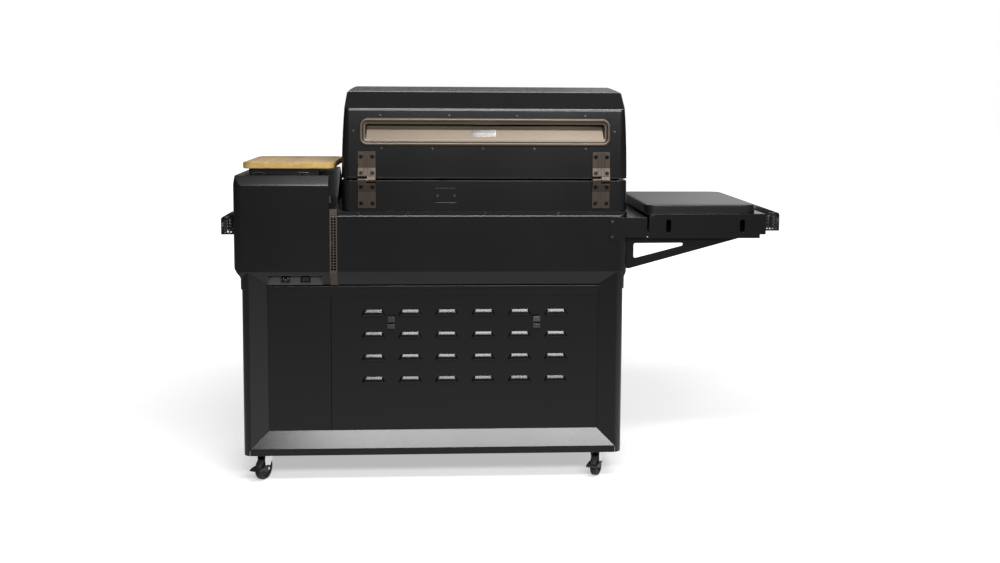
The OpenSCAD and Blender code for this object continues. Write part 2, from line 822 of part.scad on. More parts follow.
// A leaf with two ribs between three pressed grooves, its strap and its knuckle
module leaf(side, bore) {
    difference() {
        union() {
            difference() {
                along_x(-hinge_w / 2, hinge_w / 2) polygon(leaf_yz());
                for (x = [-9.5, 0, 9.5])
                    along_x(x - 1.6, x + 1.6) polygon(leaf_outside(1.8));
            }
            along_x(side > 0 ? 0.4 : -hinge_w / 2, side > 0 ? hinge_w / 2 : -0.4)
                polygon(strap_yz());
            translate([side > 0 ? 0.4 : -hinge_w / 2, hinge_y, hinge_z])
                rotate([0, 90, 0]) cylinder(r = knuckle_r, h = hinge_w / 2 - 0.4);
        }
        translate([-hinge_w, hinge_y, hinge_z]) rotate([0, 90, 0]) cylinder(r = bore, h = 2 * hinge_w);
    }
}

module hinge_lid_leaves() {
    color(bronze) place() for (x = hinge_x)
        translate([x, 0, 0]) leaf(-1, pin_r + fit);
}

// The lower leaves on the ring, and the base knuckles of the hopper lid on its deck
module hinge_base_leaves() {
    color(bronze) place() {
        for (x = hinge_x)
            translate([x, 0, 2 * hinge_z]) mirror([0, 0, 1]) leaf(1, pin_r);
        for (x = small_hinge_x) translate([x, 0, 0]) difference() {
            union() {
                block([-17, small_hinge_y, hopper_top], [17, small_hinge_y + 12, hopper_top + 1.2]);
                for (x0 = [-17, 9])
                    translate([x0, small_hinge_y, small_hinge_z])
                        rotate([0, 90, 0]) cylinder(r = 4.5, h = 8);
                for (x0 = [-17, 9])
                    block([x0, small_hinge_y, hopper_top],
                        [x0 + 8, small_hinge_y + 4.4, small_hinge_z]);
            }
            translate([-20, small_hinge_y, small_hinge_z])
                rotate([0, 90, 0]) cylinder(r = small_pin_r, h = 40);
        }
    }
}

// Pins of the lid, of the hopper lid and of the two doors
module hinge_pins() {
    color(zinc) place() {
        for (x = hinge_x)
            rod(pin_r, [x - hinge_w / 2, hinge_y, hinge_z], [x + hinge_w / 2, hinge_y, hinge_z]);
        for (x = small_hinge_x)
            rod(small_pin_r, [x - 17, small_hinge_y, small_hinge_z],
                [x + 17, small_hinge_y, small_hinge_z]);
        for (s = [-1, 1]) {
            rod(pin_r, [s * door_pin[0], door_pin[1], sill_z],
                [s * door_pin[0], door_pin[1], door_z[0] + 9]);
            rod(pin_r, [s * door_pin[0], door_pin[1], door_z[1] - 9],
                [s * door_pin[0], door_pin[1], head_z]);
        }
    }
}

module lid_handle() {
    z = 1040;
    y0 = -barrel_y;
    y1 = -(handle_y - 12);
    color(bronze) place() translate([barrel_x, 0, 0]) {
        rod(12, [-handle_l / 2, y1, z], [handle_l / 2, y1, z]);
        for (x = [-handle_l / 2 + 60, handle_l / 2 - 60]) difference() {
            union() {
                block([x - 11, y1, z - 9], [x + 11, y0 - 4, z + 9]);
                block([x - 20, y0 - 4, z - 26], [x + 20, y0, z + 26]);
            }
            translate([x - 12, y1, z]) rotate([0, 90, 0]) cylinder(r = 12, h = 24);
        }
    }
}

// A button head with a hexagon socket, standing on a face that looks along +Y
module screw(r, h) {
    rotate([-90, 0, 0]) difference() {
        cylinder(r = r, h = h);
        translate([0, 0, h / 2]) cylinder(r = r * 0.45, h = h, $fn = 6);
    }
}

module leaf_screws() {
    for (x = [-bolt_dx, bolt_dx]) {
        translate([x, barrel_y + 4, 1056]) screw(6, 3);
        translate([x, barrel_y + 9.4, 1004]) rotate([18.4, 0, 0]) screw(6, 3);
    }
}

// Screws of the exhaust surround and of the upper hinge leaves
module lid_screws() {
    color(zinc) place() {
        for (x = hinge_x) translate([x, 0, 0]) leaf_screws();
        for (x = [169, -48, -263, -480]) translate([x, barrel_y, 1187]) screw(3, 1.5);
        for (x = [166, 5, -156, -319, -483]) translate([x, barrel_y, 1082]) screw(3, 1.5);
        for (x = [254, -575]) translate([x, barrel_y, 1137]) screw(3, 1.5);
    }
}

// Screws on the body: lower hinge leaves, deck bevel, inlet, service plate, shelf and latch
module case_screws() {
    color(zinc) place() {
        for (x = hinge_x)
            translate([x, 0, 2 * hinge_z]) mirror([0, 0, 1]) leaf_screws();
        for (x = [239, 81, -163, -396])
            translate([x, body_y - deck_bevel / 2, deck_z - deck_bevel / 2])
                rotate([45, 0, 0]) screw(4, 2);
        for (x = [361, 520]) translate([x, body_y - bevel_in - 2, 667]) screw(4, 2);
        for (x = [-65, -11]) translate([x, barrel_y + 1.5, 932]) screw(3.5, 1.5);
        for (z = [851, 802]) translate([-569, body_y + 3, z]) screw(4, 1);
        translate([600, 245, hopper_top]) rotate([90, 0, 0]) screw(5, 2);
        translate([split_x - 4, body_y - 30, 908]) cube([4, 12, 22]);
    }
}

// ---------------------------------------------------------------- hopper lid

module hopper_board() {
    r = 40;
    near = 25;
    w = board[0] / 2;
    y0 = board_y - board[1];
    outline = concat(
        arc([w - near, board_y - near], near, 0, 90), arc([near - w, board_y - near], near, 90, 180),
        arc([r - w, y0 + r], r, 180, 270), arc([w - r, y0 + r], r, 270, 360));
    color(bamboo) place() translate([board_x, 0, 0])
        upright(hopper_top + tray_h, hopper_top + tray_h + board[2]) polygon(outline);
}

// The pressed tray under the board, with the moving halves of its two hinges
module hopper_lid_frame() {
    w = tray_x[1] - tray_x[0];
    d = tray_y[1] - tray_y[0];
    color(black_paint) place() difference() {
        union() {
            translate([(tray_x[0] + tray_x[1]) / 2, (tray_y[0] + tray_y[1]) / 2, 0])
                difference() {
                    upright(hopper_top + 1, hopper_top + tray_h) polygon(rounded(w, d, 8));
                    upright(hopper_top, hopper_top + tray_h - sheet) polygon(rounded(w - 6, d - 6, 5));
                }
            for (x = small_hinge_x) translate([x, 0, 0]) {
                block([-15, tray_y[1], small_hinge_z], [15, tray_y[1] + 1.5, hopper_top + tray_h - 3]);
                translate([-8.4, small_hinge_y, small_hinge_z])
                    rotate([0, 90, 0]) cylinder(r = 4.5, h = 16.8);
            }
        }
        for (x = small_hinge_x) {
            translate([x - 20, small_hinge_y, small_hinge_z])
                rotate([0, 90, 0]) cylinder(r = small_pin_r + fit, h = 40);
            for (x0 = [-18, 8.4])
                translate([x + x0, small_hinge_y, small_hinge_z])
                    rotate([0, 90, 0]) cylinder(r = 5, h = 9.6);
        }
    }
}

// The touch panel's housing on the sloping console, with the well of the power button
module controller() {
    color(enamel) place() console() difference() {
        upright(0, 10) polygon(rounded(210, 120, 10));
        upright(8.5, 11) translate([-18, 8]) polygon(rounded(150, 88, 4));
        translate([84, -38, 2]) cylinder(r = 9, h = 12);
    }
}

module console() {
    length = (body_y + console_y) / cos(console_tilt);
    translate([482, console_y, hopper_top]) rotate([console_tilt, 0, 0])
        translate([0, -length / 2, 0]) children();
}

module power_button() {
    color(zinc) place() console() translate([84, -38, 4.5]) difference() {
        cylinder(r = 8.6, h = 8);
        translate([0, 0, 7.2]) cylinder(r = 6, h = 2);
    }
}

// ---------------------------------------------------------------- rails and shelf

// A folded rail that stands off a wall: a top, a rounded edge and an outer face
module rail_profile(out, h, spacer) {
    t = 3;
    r = 9;
    polygon(concat(
        [[spacer, 0], [spacer, -t]], arc([out - r, -r], r - t, 90, 0, 5),
        [[out - t, -h], [out, -h]], arc([out - r, -r], r, 0, 90, 5)));
    translate([0, -h + 12]) difference() {
        square([spacer + 3, h - 12]);
        translate([3, 3]) square([spacer - 3, h - 18]);
    }
}

// The rail on the hopper's end and the one across the front
module accessory_rails() {
    color(black_paint) place() {
        translate([body_x1, 0, rail_z]) along_y(-240, 240) rail_profile(rail_x - body_x1, 57, 17);
        translate([0, -body_y, rail_z]) mirror([0, 1, 0])
            along_x(-555, 600) rail_profile(rail_x - body_x1, 57, 17);
    }
}

module shelf_rail() {
    color(black_paint) place() translate([-shelf_end, 0, shelf_z + 2]) mirror([1, 0, 0])
        along_y(-245, 255) rail_profile(shelf_rail_x - shelf_end, 60, 22);
}

// An inverted channel between the body and the tray, with ears that wrap the body's corners
module shelf_frame() {
    z0 = 800;
    z1 = 864;
    x0 = -shelf_start + 8;
    color(black_paint) place() {
        block([x0, -body_y, z1 - sheet], [body_x0 - 1, body_y, z1]);
        front_and_rear() {
            block([x0, body_y, z0], [-590, body_y + 3, z1]);
            block([-590, body_y, z0 - 12], [-560, body_y + 3, z1 + 1]);
        }
        block([x0, -body_y, z0 + 8], [x0 + sheet, body_y, z1 - sheet]);
    }
}

// Two triangular brackets with a window
module shelf_brackets() {
    outline = [[body_x0, 696], [body_x0, apron_z], [-992, apron_z], [-992, apron_z - 2],
        [body_x0 - 8, 694]];
    window = concat(
        arc([-650, 771], 6, 90, 0, 4), arc([-650, 735], 6, 0, -105, 4),
        arc([-800, 773], 5, 255, 90, 5));
    color(black_paint) place() for (y = [-254, 250])
        along_y(y, y + 4) difference() {
            polygon(outline);
            polygon(window);
        }
}

// The pan of the side shelf, with an apron at the front and the rear
module shelf_tray() {
    x0 = -shelf_end;
    x1 = -shelf_start - 2;
    y1 = apron_y - 3;
    step_x = x0 + 19;
    step_z = apron_z + 12;
    color(black_paint) place() difference() {
        union() {
            difference() {
                along_y(-y1, y1)
                    polygon([[step_x, apron_z], [x1, apron_z], [x1, shelf_z], [x0, shelf_z],
                        [x0, step_z], [step_x, step_z]]);
                along_y(sheet - y1, y1 - sheet)
                    polygon([[step_x + sheet, apron_z + sheet], [x1 - sheet, apron_z + sheet],
                        [x1 - sheet, shelf_z - sheet], [x0 + sheet, shelf_z - sheet],
                        [x0 + sheet, step_z + sheet], [step_x + sheet, step_z + sheet]]);
                block([x0 + 30, 45 - y1, shelf_z - 5], [x1 - 14, y1 - 40, shelf_z + 5]);
                for (x = [-980:60:-780])
                    block([x, -160, apron_z - 1], [x + 12, 160, apron_z + 5]);
            }
            front_and_rear() along_y(y1, apron_y)
                polygon([[step_x, apron_z], [-shelf_start, apron_z], [-shelf_start, shelf_z - 12],
                    [-shelf_start - 20, shelf_z], [x0, shelf_z], [x0, step_z], [step_x, step_z]]);
        }
        along_y(-apron_y - 1, apron_y + 1)
            for (x = [-752, -992]) translate([x, apron_z + 40]) polygon(rounded(16, 42, 7.9, 4));
    }
}

// The cooktop: a glass plate whose rim lies on the tray, over an open case
module cooktop() {
    x0 = -shelf_end + 40;
    x1 = -shelf_start - 24;
    y0 = -218;
    y1 = 225;
    rim = 8;
    glass = 5;
    case_z = apron_z + 12;
    color(enamel) place() difference() {
        union() {
            block([x0 + rim, y0 + 20, case_z], [x1 - rim, y1 - rim, shelf_z]);
            translate([(x0 + x1) / 2, (y0 + y1) / 2, 0])
                upright(shelf_z, shelf_z + rim) polygon(rounded(x1 - x0 + 10, y1 - y0, 12));
        }
        block([x0 + rim + sheet, y0 + 20 + sheet, case_z - 1],
            [x1 - rim - sheet, y1 - rim - sheet, shelf_z + rim - glass]);
    }
}

module cover_slab(inset, z0, z1, edge) {
    w = cover_x[1] - cover_x[0] - 2 * inset;
    d = cover_y[1] - cover_y[0] - 2 * inset;
    translate([(cover_x[0] + cover_x[1]) / 2, (cover_y[0] + cover_y[1]) / 2, 0]) hull() {
        upright(z0, z1 - edge) polygon(rounded(w, d, 36));
        upright(z1 - edge / 2, z1 - edge / 3) polygon(rounded(w - edge / 2, d - edge / 2, 35));
        upright(z1 - 1, z1) polygon(rounded(w - 2 * edge, d - 2 * edge, 30));
    }
}

// A loose cover over the cooktop
module cooktop_cover() {
    z0 = shelf_z + 0.3;
    color([0.16, 0.16, 0.17]) place() difference() {
        cover_slab(0, z0, z0 + cover_h, 11);
        cover_slab(3, z0 - 1, z0 + cover_h - 3, 8);
    }
}

// ---------------------------------------------------------------- doors

// A folded door, open at the back, with a bore for the pin at each end of its hinge side
module door(s) {
    x0 = s > 0 ? meeting_gap : -door_x;
    x1 = s > 0 ? door_x : -meeting_gap;
    rim = 16;
    pin = [s * door_pin[0], door_pin[1]];
    difference() {
        block([x0, -door_y, door_z[0]], [x1, door_t - door_y, door_z[1]]);
        block([x0 + rim, sheet - door_y, door_z[0] + rim],
            [x1 - rim, door_t - door_y + 1, door_z[1] - rim]);
        for (z = [door_z[0] - 1, door_z[1] - 11])
            translate([pin[0], pin[1], z]) cylinder(r = pin_r + fit, h = 12);
    }
}

module door_left() {
    color(black_paint) place() door(-1);
}

module door_right() {
    color(black_paint) place() door(1);
}

module door_handle(s) {
    x = s * 42;
    y1 = -door_y - 32;
    color(bronze) place() {
        rod(7, [x, y1, 330], [x, y1, 560]);
        for (z = [350, 540])
            rod(5, [x, y1, z], [x, -door_y, z]);
    }
}

module handle_left() {
    door_handle(-1);
}

module handle_right() {
    door_handle(1);
}

// ---------------------------------------------------------------- casters

// Corners in order: rear hopper side, rear shelf side, front hopper side, front shelf side
function caster_at(i) = [(i == 1 || i == 3) ? caster_xy[0] : -caster_xy[0],
    i < 3 ? caster_xy[1] : -caster_xy[1], 0];

// Stands what is drawn with its wheel towards +Y under corner i
module at_caster(i) {
    place() translate(caster_at(i)) rotate([0, 0, -caster_turn]) children();
}

// A pressed fork with its stem, and the axle across it
module fork(i) {
    top = pan_z - 0.4;
    half = wheel_w / 2 + 1.5;
    t = 2.5;
    color(zinc) at_caster(i) {
        translate([0, 0, top - 6]) cylinder(r = 22, h = 6);
        translate([0, 0, top - 1]) cylinder(r = stem_r, h = stem_h - 2);
        block([-half - t, -15, top - 11], [half + t, 30, top - 5]);
        for (x = [-half - t, half])
            along_x(x, x + t) polygon(concat(
                [[-15, top - 6], [-13, top - 22]], arc([trail, wheel_r], 9, 220, 360, 6),
                [[trail + 14, top - 26], [32, top - 6]]));
        rod(axle_r, [-half - t - 5, trail, wheel_r], [half + t + 5, trail, wheel_r]);
    }
}

// A wheel with a hard centre and a soft tread, on a plain bore
module wheel(i) {
    w = wheel_w / 2;
    tread = concat(arc([wheel_r - 5, w - 5], 5, 90, 0, 4), arc([wheel_r - 5, 5 - w], 5, 0, -90, 4));
    color(enamel) at_caster(i) translate([0, trail, wheel_r]) rotate([0, 90, 0])
        rotate_extrude($fn = 72)
            polygon(concat(
                [[axle_r + fit, w]], [[12, w], [14, w - 3], [wheel_r - 10, w - 3], [wheel_r - 9, w]],
                tread,
                [[wheel_r - 9, -w], [wheel_r - 10, 3 - w], [14, 3 - w], [12, -w]],
                [[axle_r + fit, -w]]));
}

// A brake lever on the ends of the axle, with a wide pedal behind the wheel
module brake(i) {
    half = wheel_w / 2 + 4.4;
    t = 3;
    arm = [[trail - 9, wheel_r + 8], [trail + 10, wheel_r + 10], [trail + 41, wheel_r + 9],
        [trail + 41, wheel_r + 3], [trail + 10, wheel_r - 8], [trail - 9, wheel_r - 8]];
    color([0.05, 0.05, 0.05]) at_caster(i) difference() {
        union() {
            for (x = [-half - t, half])
                along_x(x, x + t) polygon(arm);
            along_x(-half - t, half + t)
                polygon([[trail + 40, wheel_r + 9], [trail + 52, wheel_r + 6],
                    [trail + 54, wheel_r + 2], [trail + 40, wheel_r + 3]]);
        }
        translate([-60, trail, wheel_r]) rotate([0, 90, 0]) cylinder(r = axle_r + fit, h = 120);
    }
}

module fork_1() { fork(1); }
module fork_2() { fork(2); }
module fork_3() { fork(3); }
module fork_4() { fork(4); }
module wheel_1() { wheel(1); }
module wheel_2() { wheel(2); }
module wheel_3() { wheel(3); }
module wheel_4() { wheel(4); }
module brake_1() { brake(1); }
module brake_2() { brake(2); }

base_pan();
corner_posts();
frame_rails();
side_panels();
rear_panel();
bin_panel();
post_caps();
cord_hooks();
hinge_pins();
body_shell();
hopper_shell();
barrel_ring();
barrel_tub();
fire_pot();
auger_tube();
auger();
fan_housing();
fan_wheel();
hopper_bin();
vent_strip();
inlet_plate();
power_sockets();
hinge_base_leaves();
case_screws();
service_plate();
accessory_rails();
shelf_frame();
shelf_brackets();
shelf_tray();
shelf_rail();
cooktop();
controller();
power_button();
drip_tray();
lower_grate();
upper_grate();
ash_keg();
lid_shell();
exhaust_surround();
badge_plate();
hinge_lid_leaves();
lid_handle();
lid_screws();
hopper_board();
hopper_lid_frame();
door_left();
door_right();
handle_left();
handle_right();
cooktop_cover();
fork_1();
fork_2();
fork_3();
fork_4();
wheel_1();
wheel_2();
wheel_3();
wheel_4();
brake_1();
brake_2();
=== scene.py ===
"""The looks of the pellet smoker grill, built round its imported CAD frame. Units are metres."""

import json
import math

import bmesh
import bpy
from mathutils import Matrix, Vector


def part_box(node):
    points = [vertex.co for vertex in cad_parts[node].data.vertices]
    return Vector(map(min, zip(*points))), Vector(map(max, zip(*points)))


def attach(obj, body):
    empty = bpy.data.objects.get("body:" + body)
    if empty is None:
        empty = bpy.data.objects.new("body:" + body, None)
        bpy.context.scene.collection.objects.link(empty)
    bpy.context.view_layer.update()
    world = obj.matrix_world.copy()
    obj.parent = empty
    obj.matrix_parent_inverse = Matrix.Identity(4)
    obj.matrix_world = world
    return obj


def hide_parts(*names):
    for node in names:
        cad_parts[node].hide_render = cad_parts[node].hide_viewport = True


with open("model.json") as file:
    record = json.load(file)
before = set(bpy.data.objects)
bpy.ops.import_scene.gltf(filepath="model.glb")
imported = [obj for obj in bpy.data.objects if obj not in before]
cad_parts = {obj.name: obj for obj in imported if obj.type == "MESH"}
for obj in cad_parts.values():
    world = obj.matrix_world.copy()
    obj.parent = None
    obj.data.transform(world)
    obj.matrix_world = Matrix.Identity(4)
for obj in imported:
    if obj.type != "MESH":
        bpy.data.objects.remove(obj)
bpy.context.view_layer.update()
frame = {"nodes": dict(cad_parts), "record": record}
NODES = frame["nodes"]

MM = 0.001


# ---------------------------------------------------------------- materials


class Graph:
    """A material's nodes, with short calls to add and join them."""

    def __init__(self, name, **sockets):
        self.material = bpy.data.materials.new(name)
        self.material.use_nodes = True
        self.tree = self.material.node_tree
        self.shader = next(n for n in self.tree.nodes if n.type == "BSDF_PRINCIPLED")
        for key, value in sockets.items():
            self.shader.inputs[key.replace("_", " ")].default_value = value
        self.place = self.add("ShaderNodeTexCoord").outputs["Object"]

    def add(self, kind, inputs=None, **settings):
        node = self.tree.nodes.new(kind)
        for key, value in settings.items():
            setattr(node, key, value)
        for key, value in (inputs or {}).items():
            if isinstance(value, bpy.types.NodeSocket):
                self.tree.links.new(value, node.inputs[key])
            else:
                node.inputs[key].default_value = value
        return node

    def noise(self, scale, detail=2.0, stretch=(1, 1, 1), rough=0.5):
        mapping = self.add("ShaderNodeMapping", {"Vector": self.place, "Scale": stretch})
        node = self.add("ShaderNodeTexNoise", {
            "Vector": mapping.outputs[0], "Scale": scale, "Detail": detail, "Roughness": rough})
        return node.outputs["Fac"]

    def ramp(self, value, stops):
        node = self.add("ShaderNodeValToRGB", {"Fac": value})
        elements = node.color_ramp.elements
        while len(elements) < len(stops):
            elements.new(0.5)
        for element, (where, colour) in zip(elements, stops):
            element.position = where
            element.color = (*colour, 1) if len(colour) == 3 else colour
        return node.outputs["Color"]

    def spread(self, value, low, high):
        """Maps 0..1 to low..high."""
        node = self.add("ShaderNodeMapRange", {"Value": value, "To Min": low, "To Max": high})
        return node.outputs[0]

    def maths(self, operation, a, b=0.0):
        return self.add("ShaderNodeMath", {0: a, 1: b}, operation=operation).outputs[0]

    def mix(self, factor, a, b):
        node = self.add("ShaderNodeMix", data_type="RGBA")
        for key, value in ((0, factor), (6, a), (7, b)):
            if isinstance(value, bpy.types.NodeSocket):
                self.tree.links.new(value, node.inputs[key])
            elif key == 0:
                node.inputs[key].default_value = value
            else:
                node.inputs[key].default_value = (*value, 1)
        return node.outputs[2]

    def colour(self, socket):
        self.tree.links.new(socket, self.shader.inputs["Base Color"])

    def roughness(self, socket):
        self.tree.links.new(socket, self.shader.inputs["Roughness"])

    def bump(self, height, strength, distance):
        node = self.add("ShaderNodeBump", {
            "Height": height, "Strength": strength, "Distance": distance})
        self.tree.links.new(node.outputs[0], self.shader.inputs["Normal"])


def shade(colour, amount):
    return tuple(min(1.0, c * amount) for c in colour)


def coat(name, colour, rough, grain=900, depth=0.06 * MM, metal=0.0, gloss=0.5, speckle=0.25):
    """A sprayed and baked coat: fine orange peel, faint speckle, slow changes of tone."""
    g = Graph(name, Metallic=metal, Specular_IOR_Level=gloss)
    fine = g.noise(grain, 3)
    slow = g.noise(3.5, 2)
    base = g.ramp(slow, [(0.3, shade(colour, 0.88)), (0.7, shade(colour, 1.12))])
    flecks = g.ramp(g.noise(grain * 1.7, 1), [
        (0.35, shade(colour, 1 - speckle)), (0.5, colour), (0.68, shade(colour, 1 + 2.4 * speckle))])
    g.colour(g.mix(0.5, base, flecks))
    g.roughness(g.spread(g.mix(0.4, fine, slow), rough - 0.07, rough + 0.07))
    g.bump(fine, 0.35, depth)
    return g.material


def metal(name, colour, rough, stretch=(1, 1, 1), scratch=0.3, wear=0.12):
    """Bare metal with brushed or cast texture along its stretched direction."""
    g = Graph(name, Metallic=1.0)
    lines = g.noise(700, 4, stretch, 0.6)
    patches = g.noise(14, 3)
    g.colour(g.ramp(g.mix(0.5, lines, patches), [
        (0.3, shade(colour, 1 - 2 * wear)), (0.5, colour), (0.75, shade(colour, 1 + wear))]))
    g.roughness(g.spread(patches, rough - 0.08, rough + 0.12))
    g.bump(lines, scratch, 0.03 * MM)
    return g.material


def bamboo_material():
    """Strips of bamboo glued side by side: each has its own tone, fibres and dark knots."""
    strip = 19 * MM
    layer_height = 6.8 * MM
    g = Graph("bamboo", Specular_IOR_Level=0.22, Coat_Weight=0.04, Coat_Roughness=0.35)
    split = g.add("ShaderNodeSeparateXYZ", {0: g.place})
    index = g.maths("FLOOR", g.maths("DIVIDE", split.outputs["X"], strip))
    layer = g.maths("FLOOR", g.maths("DIVIDE", split.outputs["Z"], layer_height))
    key = g.add("ShaderNodeCombineXYZ", {"X": index, "Y": layer})
    tone = g.add("ShaderNodeTexWhiteNoise", {"Vector": key.outputs[0]}).outputs["Value"]
    body = g.ramp(tone, [
        (0.0, (0.27, 0.155, 0.048)), (0.35, (0.38, 0.24, 0.078)), (0.7, (0.44, 0.295, 0.105)),
        (1.0, (0.33, 0.195, 0.062))])
    fibres = g.noise(260, 4, (1, 0.03, 1), 0.65)
    fibred = g.mix(0.55, body, g.ramp(fibres, [
        (0.3, (0.29, 0.17, 0.055)), (0.55, (0.43, 0.29, 0.105)), (0.8, (0.5, 0.37, 0.15))]))
    knots = g.noise(24, 2, (1, 0.35, 1), 0.3)
    marked = g.mix(g.ramp(knots, [(0.66, (0, 0, 0)), (0.74, (0.5, 0.5, 0.5))]), fibred,
        (0.17, 0.09, 0.035))
    edge = g.maths("ABSOLUTE", g.maths("SUBTRACT", g.maths("FRACT", g.maths("DIVIDE",
        split.outputs["X"], strip)), 0.5))
    seam = g.ramp(edge, [(0.47, (0, 0, 0)), (0.5, (0.55, 0.55, 0.55))])
    g.colour(g.mix(seam, marked, (0.16, 0.09, 0.04)))
    g.roughness(g.spread(fibres, 0.38, 0.6))
    g.bump(fibres, 0.3, 0.08 * MM)
    return g.material


def glass_material():
    """Black glass with faint smears in its polish."""
    g = Graph("black_glass", Specular_IOR_Level=0.6)
    smears = g.noise(9, 4, (1, 2.5, 1), 0.7)
    g.colour(g.ramp(smears, [(0.3, (0.006, 0.006, 0.007)), (0.7, (0.011, 0.011, 0.012))]))
    g.roughness(g.spread(smears, 0.05, 0.16))
    g.bump(g.noise(120, 2), 0.05, 0.01 * MM)
    return g.material


def rubber_material():
    """Black rubber with pale dust in its hollows."""
    colour = (0.018, 0.018, 0.019)
    g = Graph("black_tread", Specular_IOR_Level=0.3)
    dust = g.noise(60, 5, rough=0.7)
    g.colour(g.ramp(dust, [(0.35, colour), (0.6, shade(colour, 1.3)), (0.8, (0.06, 0.057, 0.052))]))
    g.roughness(g.spread(dust, 0.5, 0.75))
    g.bump(g.noise(1300, 2), 0.3, 0.05 * MM)
    return g.material


def screen_material():
    """A dark display, switched off, with a little dust on it."""
    g = Graph("display", Specular_IOR_Level=0.6)
    dust = g.noise(30, 4, rough=0.7)
    g.colour(g.ramp(dust, [(0.4, (0.006, 0.007, 0.009)), (0.8, (0.012, 0.013, 0.015))]))
    g.roughness(g.spread(dust, 0.06, 0.2))
    return g.material


def pale_glowing_floor():
    """A pale floor with painted light: it glows, more strongly far from the grill so that it has no
    horizon, and its glow lifts the shadow near the grill.
    """
    g = Graph("pale_glowing_floor", Specular_IOR_Level=0.2)
    g.colour(g.ramp(g.noise(2.2, 3), [(0.3, (0.71, 0.71, 0.71)), (0.7, (0.74, 0.74, 0.74))]))
    g.roughness(g.spread(g.noise(40, 2), 0.6, 0.7))
    g.shader.inputs["Emission Color"].default_value = (1, 1, 1, 1)
    far = g.add("ShaderNodeVectorMath", {0: g.place}, operation="LENGTH").outputs["Value"]
    # Painted light: the floor glows with strength 0.45 near the grill, rising to 1.0 far away.
    glow = g.add("ShaderNodeMapRange", {
        "Value": far, "From Min": 0.9, "From Max": 3.6, "To Min": 0.45, "To Max": 1.0},
        interpolation_type="SMOOTHSTEP")
    g.tree.links.new(glow.outputs[0], g.shader.inputs["Emission Strength"])
    return g.material


POWDER = coat("black_powder_coat", (0.0042, 0.0042, 0.0044), 0.23, depth=0.04 * MM)
SATIN = coat("grey_satin_paint", (0.006, 0.006, 0.0062), 0.3, 1200, 0.04 * MM, speckle=0.12)
DARK_GREY = coat("dark_grey_paint", (0.036, 0.036, 0.037), 0.5, gloss=0.4)
BRONZE = coat("bronze_coat", (0.212, 0.176, 0.137), 0.46, 1500, 0.03 * MM, metal=0.85, speckle=0.12)
DEEP_BRONZE = coat("deep_bronze_coat", (0.095, 0.075, 0.06), 0.4, 1300, 0.03 * MM, metal=0.8,
    speckle=0.15)
HINGE_BRONZE = coat("hinge_bronze_coat", (0.056, 0.043, 0.034), 0.38, 1300, 0.03 * MM, metal=0.8,
    speckle=0.15)
ZINC = metal("zinc_plate", (0.66, 0.67, 0.69), 0.27, wear=0.1)
SCREW = metal("blackened_screw", (0.09, 0.087, 0.084), 0.34, wear=0.2)
CLEAT = metal("cleat_steel", (0.11, 0.11, 0.112), 0.3, wear=0.1)
BOLT = metal("dark_bolt", (0.016, 0.015, 0.0145), 0.3, wear=0.2)
STEEL = metal("brushed_steel", (0.6, 0.6, 0.595), 0.28, (0.04, 1, 1), 0.4)
NAMEPLATE = metal("polished_plate", (0.88, 0.87, 0.85), 0.22, (0.05, 1, 1), 0.2, 0.04)
ENAMEL = coat("black_enamel", (0.012, 0.012, 0.013), 0.24, 300, 0.05 * MM, speckle=0.1)
PLASTIC = coat("moulded_plastic", (0.013, 0.013, 0.0135), 0.5, 1500, 0.05 * MM, gloss=0.4)
GLASS = glass_material()
DISPLAY = screen_material()
BAMBOO = bamboo_material()
TREAD = rubber_material()

BODY_OF = {
    node: body
    for body, nodes in frame["record"]["behaviour"]["bodies"].items()
    for node in nodes
}


# ---------------------------------------------------------------- mesh helpers


def new_object(name, build, inside=None):
    """A smooth shaded object whose mesh is made by build(bm).
    An open sheet names its inner side: inside(point) is a point that each face turns away from."""
    mesh = bpy.data.meshes.new(name)
    bm = bmesh.new()
    build(bm)
    bmesh.ops.recalc_face_normals(bm, faces=bm.faces)
    for face in bm.faces:
        face.smooth = True
        centre = face.calc_center_median()
        if inside is not None and (centre - inside(centre)).dot(face.normal) < 0:
            face.normal_flip()
    bm.to_mesh(mesh)
    bm.free()
    obj = bpy.data.objects.new(name, mesh)
    bpy.context.scene.collection.objects.link(obj)
    return obj


def settle(obj, node, material, *stands_for):
    """Gives a piece its material and the body of a CAD node, and hides the CAD nodes it stands for."""
    obj.data.materials.clear()
    obj.data.materials.append(material)
    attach(obj, BODY_OF[node])
    if stands_for:
        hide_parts(*stands_for)
    return obj


def bevelled(obj, width):
    """Rounds the edges of a piece and keeps its flat faces flat."""
    bevel = obj.modifiers.new("edges", "BEVEL")
    bevel.width = width
    bevel.segments = 2
    bevel.limit_method = "ANGLE"
    bevel.angle_limit = math.radians(32)
    flat_faces(obj)


def flat_faces(obj):
    """Lets the large faces of a piece set the shading of its bevels."""
    weighted = obj.modifiers.new("flat_faces", "WEIGHTED_NORMAL")
    weighted.mode = "FACE_AREA"
    weighted.weight = 50


def thin_face(face, limit):
    """Tells whether a face is a strip narrower than the limit."""
    longest = max(e.calc_length() for e in face.edges)
    return face.calc_area() < limit * longest


